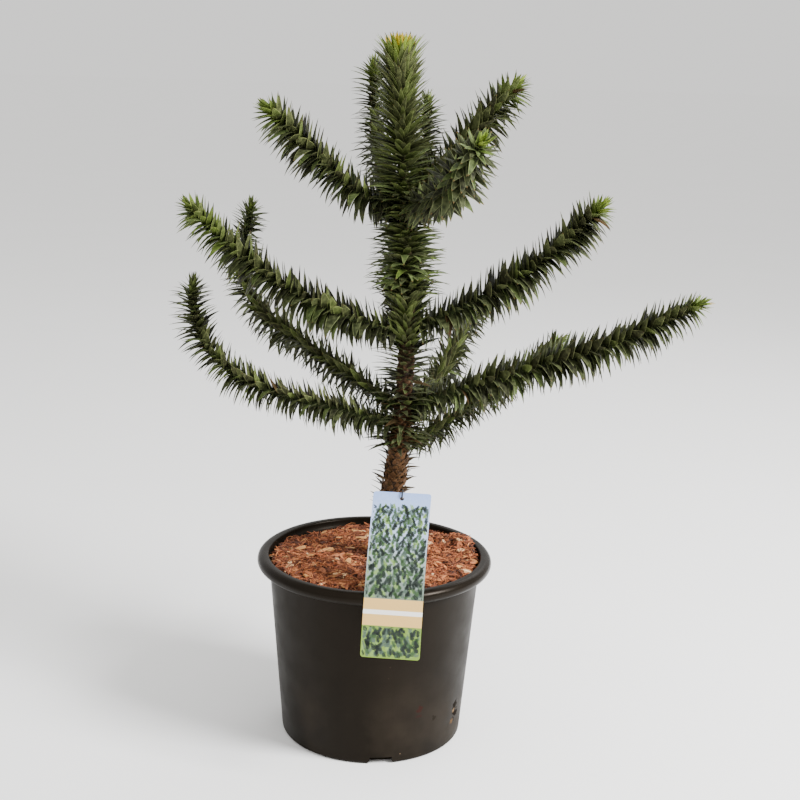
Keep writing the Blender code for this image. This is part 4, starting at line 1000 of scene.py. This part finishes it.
def flat_card():
    """The card's outline and hole as a filled flat curve, cut across at every bend."""
    outline = bpy.data.curves.new("card", "CURVE")
    outline.dimensions, outline.fill_mode, outline.extrude = "2D", "BOTH", CARD_THICKNESS / 2
    side, end = CARD_WIDTH / 2 - CARD_CORNER, CARD_LENGTH - CARD_CORNER
    edge = []
    for down, sideways, start in ((CARD_CORNER, side, 90), (CARD_CORNER, -side, 180),
                                  (end, -side, 270), (end, side, 0)):
        edge += arc((down, sideways), CARD_CORNER, start, start + 90, CORNER_POINTS)
    for loop in (edge, arc((HOLE_FROM_TOP, 0.0), HOLE_RADIUS, 0, 360, HOLE_POINTS)[:-1]):
        spline = outline.splines.new("POLY")
        spline.points.add(len(loop) - 1)
        for point, place in zip(spline.points, loop):
            point.co = (*place, 0.0, 1.0)
        spline.use_cyclic_u = True
    shape = bmesh.new()
    shape.from_mesh(evaluated_mesh(linked("card", outline)))
    bmesh.ops.remove_doubles(shape, verts=shape.verts, dist=MERGE)
    cuts = [CARD_LENGTH * cut / CARD_CUTS for cut in range(1, CARD_CUTS)]
    for place in cuts + [limit for panel in CARD_PANELS for limit in panel[:2]]:
        bmesh.ops.bisect_plane(shape, geom=shape.verts[:] + shape.edges[:] + shape.faces[:],
                               dist=MERGE / 10, plane_no=(1, 0, 0), plane_co=(place, 0, 0))
    return shape


def printed_polypropylene():
    """Offset print under a clear film: even colour, a soft gloss, and a faint screen grain."""
    material, add, shader, place = new_material("printed_polypropylene_card")
    own = add("UVMap", uv_map="UVMap")
    sky = add("ValToRGB", add("SeparateXYZ", own).outputs["Y"])
    for position, colour in SKY_STOPS[1:-1]:
        sky.color_ramp.elements.new(position)
    for stop, (position, colour) in zip(sky.color_ramp.elements, SKY_STOPS):
        stop.position, stop.color = position, linear(colour)
    grain = add("MapRange", add("TexNoise", own, Scale=55.0, Detail=3.0), 0.35, 0.65, 0.0, 0.10)
    fill(shader, Base_Color=add("Mix RGBA", grain, sky, "e8eef2"), Roughness=0.34)
    return material


def ink(name, *colours):
    """A solid printed ink, a little mottled by the screen."""
    material, add, shader, place = new_material(name)
    mottle = add("TexNoise", place, Scale=900.0)
    fill(shader, Base_Color=add("Mix RGBA", mottle, *colours), Roughness=0.36)
    return material


shape = flat_card()
sheet_map = shape.loops.layers.uv.verify()
for face in shape.faces:
    for loop in face.loops:
        loop[sheet_map].uv = (loop.vert.co.y / CARD_WIDTH + 0.5, loop.vert.co.x / CARD_LENGTH)
for corner in shape.verts:
    corner.co = on_card(*corner.co)
card_mesh = surfaced(plain_mesh("card", shape), printed_polypropylene(), 40)
for top, bottom, name, *colours in CARD_PANELS:
    card_mesh.materials.append(ink("printed_ground_" + name, *colours))
outwards = card_directions[CARD_STEPS // 2].cross(card_across)
for face in card_mesh.polygons:
    down = sum(card_mesh.uv_layers[0].uv[corner].vector.y for corner in face.loop_indices)
    down *= CARD_LENGTH / face.loop_total
    for number, (top, bottom, *rest) in enumerate(CARD_PANELS):
        if face.normal.dot(outwards) > 0.5 and top < down < bottom:
            face.material_index = number + 1
finished("card_printed", card_mesh, "label_print", "label_card")


def leaflet(root, way, length, width):
    """A pointed leaflet as an outline of (down, sideways) points."""
    over = Vector((-way.y, way.x)) * width / 2
    widest = root + way * length * 0.4
    return [tuple(point) for point in (root - over * 0.4, widest - over, root + way * length,
                                       widest + over, root + over * 0.4)]


def sprig(foot, turn, size):
    """A stem with pairs of pointed leaflets, smaller towards its tip."""
    ahead = Vector((math.cos(turn), math.sin(turn)))
    aside = Vector((-ahead.y, ahead.x))
    outlines = [leaflet(foot, ahead, size, size * 0.09)]
    for pair in range(SPRIG_PAIRS):
        root = foot + ahead * size * (0.12 + 0.17 * pair)
        length = size * mix(0.42, 0.24, pair / (SPRIG_PAIRS - 1))
        for side in (-1, 1):
            way = (ahead * 0.8 + aside * side * 0.75).normalized()
            outlines.append(leaflet(root, way, length, size * 0.13))
    return outlines


def in_print(outline):
    return any(all(top < down < bottom and abs(sideways) < CARD_WIDTH / 2 - PRINT_MARGIN
                   for down, sideways in outline) for top, bottom in PRINT_ZONES)


# Rows of sprigs, set like bricks, larger and closer towards the foot of the card.
draw = random.Random(8)
sprigs = {name: [] for name, *rest in INKS}
often = [weight for *rest, weight in INKS]
row, row_top = 0, FIRST_ROW
while row_top < LAST_ROW:
    size = mix(*SPRIG_SIZES, row_top / CARD_LENGTH)
    pitch = size * SPRIG_PITCH
    for place in range(int(CARD_WIDTH / pitch) + 1):
        if draw.random() < SPARSE * (1.0 - row_top / CARD_LENGTH):
            continue
        foot = Vector((row_top + size * 0.6, -CARD_WIDTH / 2 + (place + 0.5 * (row % 2)) * pitch))
        turn = math.pi + draw.uniform(-0.9, 0.9)
        colour = draw.choices(list(sprigs), weights=often)[0]
        sprigs[colour] += filter(in_print, sprig(foot, turn, size * draw.uniform(0.8, 1.15)))
    row_top += size * ROW_PITCH
    row += 1
# Each ink is one thin film of flat shapes; the darkest is printed last and lies on top.
for number, (name, *colours, weight) in enumerate(reversed(INKS)):
    shape = bmesh.new()
    for outline in sprigs[name]:
        low, high = ([shape.verts.new(on_card(*place, height)) for place in outline]
                     for height in (CARD_THICKNESS / 2 - INK_DEPTH,
                                    CARD_THICKNESS / 2 + INK_HEIGHT + INK_STEP * number))
        shape.faces.new(high)
        shape.faces.new(list(reversed(low)))
        for index in range(len(outline)):
            after = (index + 1) % len(outline)
            shape.faces.new((low[index], low[after], high[after], high[index]))
    mesh = plain_mesh("print", shape)
    mesh.materials.append(ink("ink_" + name, *colours))
    finished("print_" + name, mesh, "label_print")

# The tie. One loop of black braided elastic, through the hole, over the card's top edge and
# round the back of the trunk; the card's weight draws its two strands straight.
TIE_RADIUS, TIE_SIDES, TIE_STEP = 0.0011, 10, 0.0008
TIE_HEIGHT = 0.345
TIE_TURNS = 9
TIE_HUG = math.radians(35)    # how far past half-way round the trunk it clings on either side
TIE_ON_CARD = ((0.0125, -0.0050), (0.0096, -0.0018), (0.0086, 0.0016), (0.0062, 0.0032),
               (0.0018, 0.0034), (-0.0022, 0.0018), (-0.0034, -0.0010), (-0.0014, -0.0042))
on_hole = [on_card(distance, 0.0, height) for distance, height in TIE_ON_CARD]
half_turn = (math.pi + 2 * TIE_HUG) / TIE_TURNS / 2
reach = (trunk_radius(TIE_HEIGHT) + TIE_RADIUS + GAP) / math.cos(half_turn)
round_trunk = []
for index in range(TIE_TURNS + 1):
    angle = mix(-TIE_HUG, math.pi + TIE_HUG, index / TIE_TURNS)
    round_trunk.append(trunk_centre(TIE_HEIGHT)
                       + Vector((math.cos(angle), math.sin(angle), 0.0)) * reach)
tie_points = (on_hole + [(on_hole[-1] + round_trunk[0]) / 2] + round_trunk
              + [(round_trunk[-1] + on_hole[0]) / 2])


def braided_elastic():
    """Rubber thread in a braided polyester sleeve: black, matt, ribbed every 0.8 mm."""
    material, add, shader, place = new_material("braided_black_elastic")
    own = add("UVMap", uv_map="UVMap")
    braid = add("TexWave", own, Scale=40.0, Distortion=0.5, bands_direction="DIAGONAL")
    fill(shader, Base_Color=add("Mix RGBA", braid, "141414", "2a2a2b"), Roughness=0.8,
         Normal=add("Bump", Strength=0.7, Distance=0.0002, Height=braid))
    return material


# The braid follows the loop's own smooth line, with its map along the cord.
cording, add, g = new_tree("elastic_loop", Float="Radius Step", Int="Sides", Material="Sleeve")
loop = add("CurveSplineType", add("MeshToCurve", g.Geometry), spline_type="CATMULL_ROM")
loop = add("ResampleCurve LENGTH", loop, Length=g.Step)
ring = add("CurvePrimitiveCircle", g.Sides, Radius=g.Radius)
loop, ring = (add("StoreNamedAttribute FLOAT", curve, Name=name, Value=add("SplineParameter"))
              for curve, name in ((loop, "along"), (ring, "around")))
loop = add("CurveToMesh", loop, ring)
along, around = (add("InputNamedAttribute FLOAT", name) for name in ("along", "around"))
own_map = add("CombineXYZ", along, around)
loop = add("StoreNamedAttribute FLOAT2", loop, Name="UVMap", Value=own_map, domain="CORNER")
loop = add("SetMaterial", add("RealizeInstances", loop), Material=g.Sleeve)
add("GroupOutput", loop)
tie_mesh = grown(line_mesh(tie_points, closed=True), cording, Radius=TIE_RADIUS, Sides=TIE_SIDES,
                 Step=TIE_STEP, Sleeve=braided_elastic())
finished("tie_elastic", tie_mesh, "tie_plastic", "label_tie")
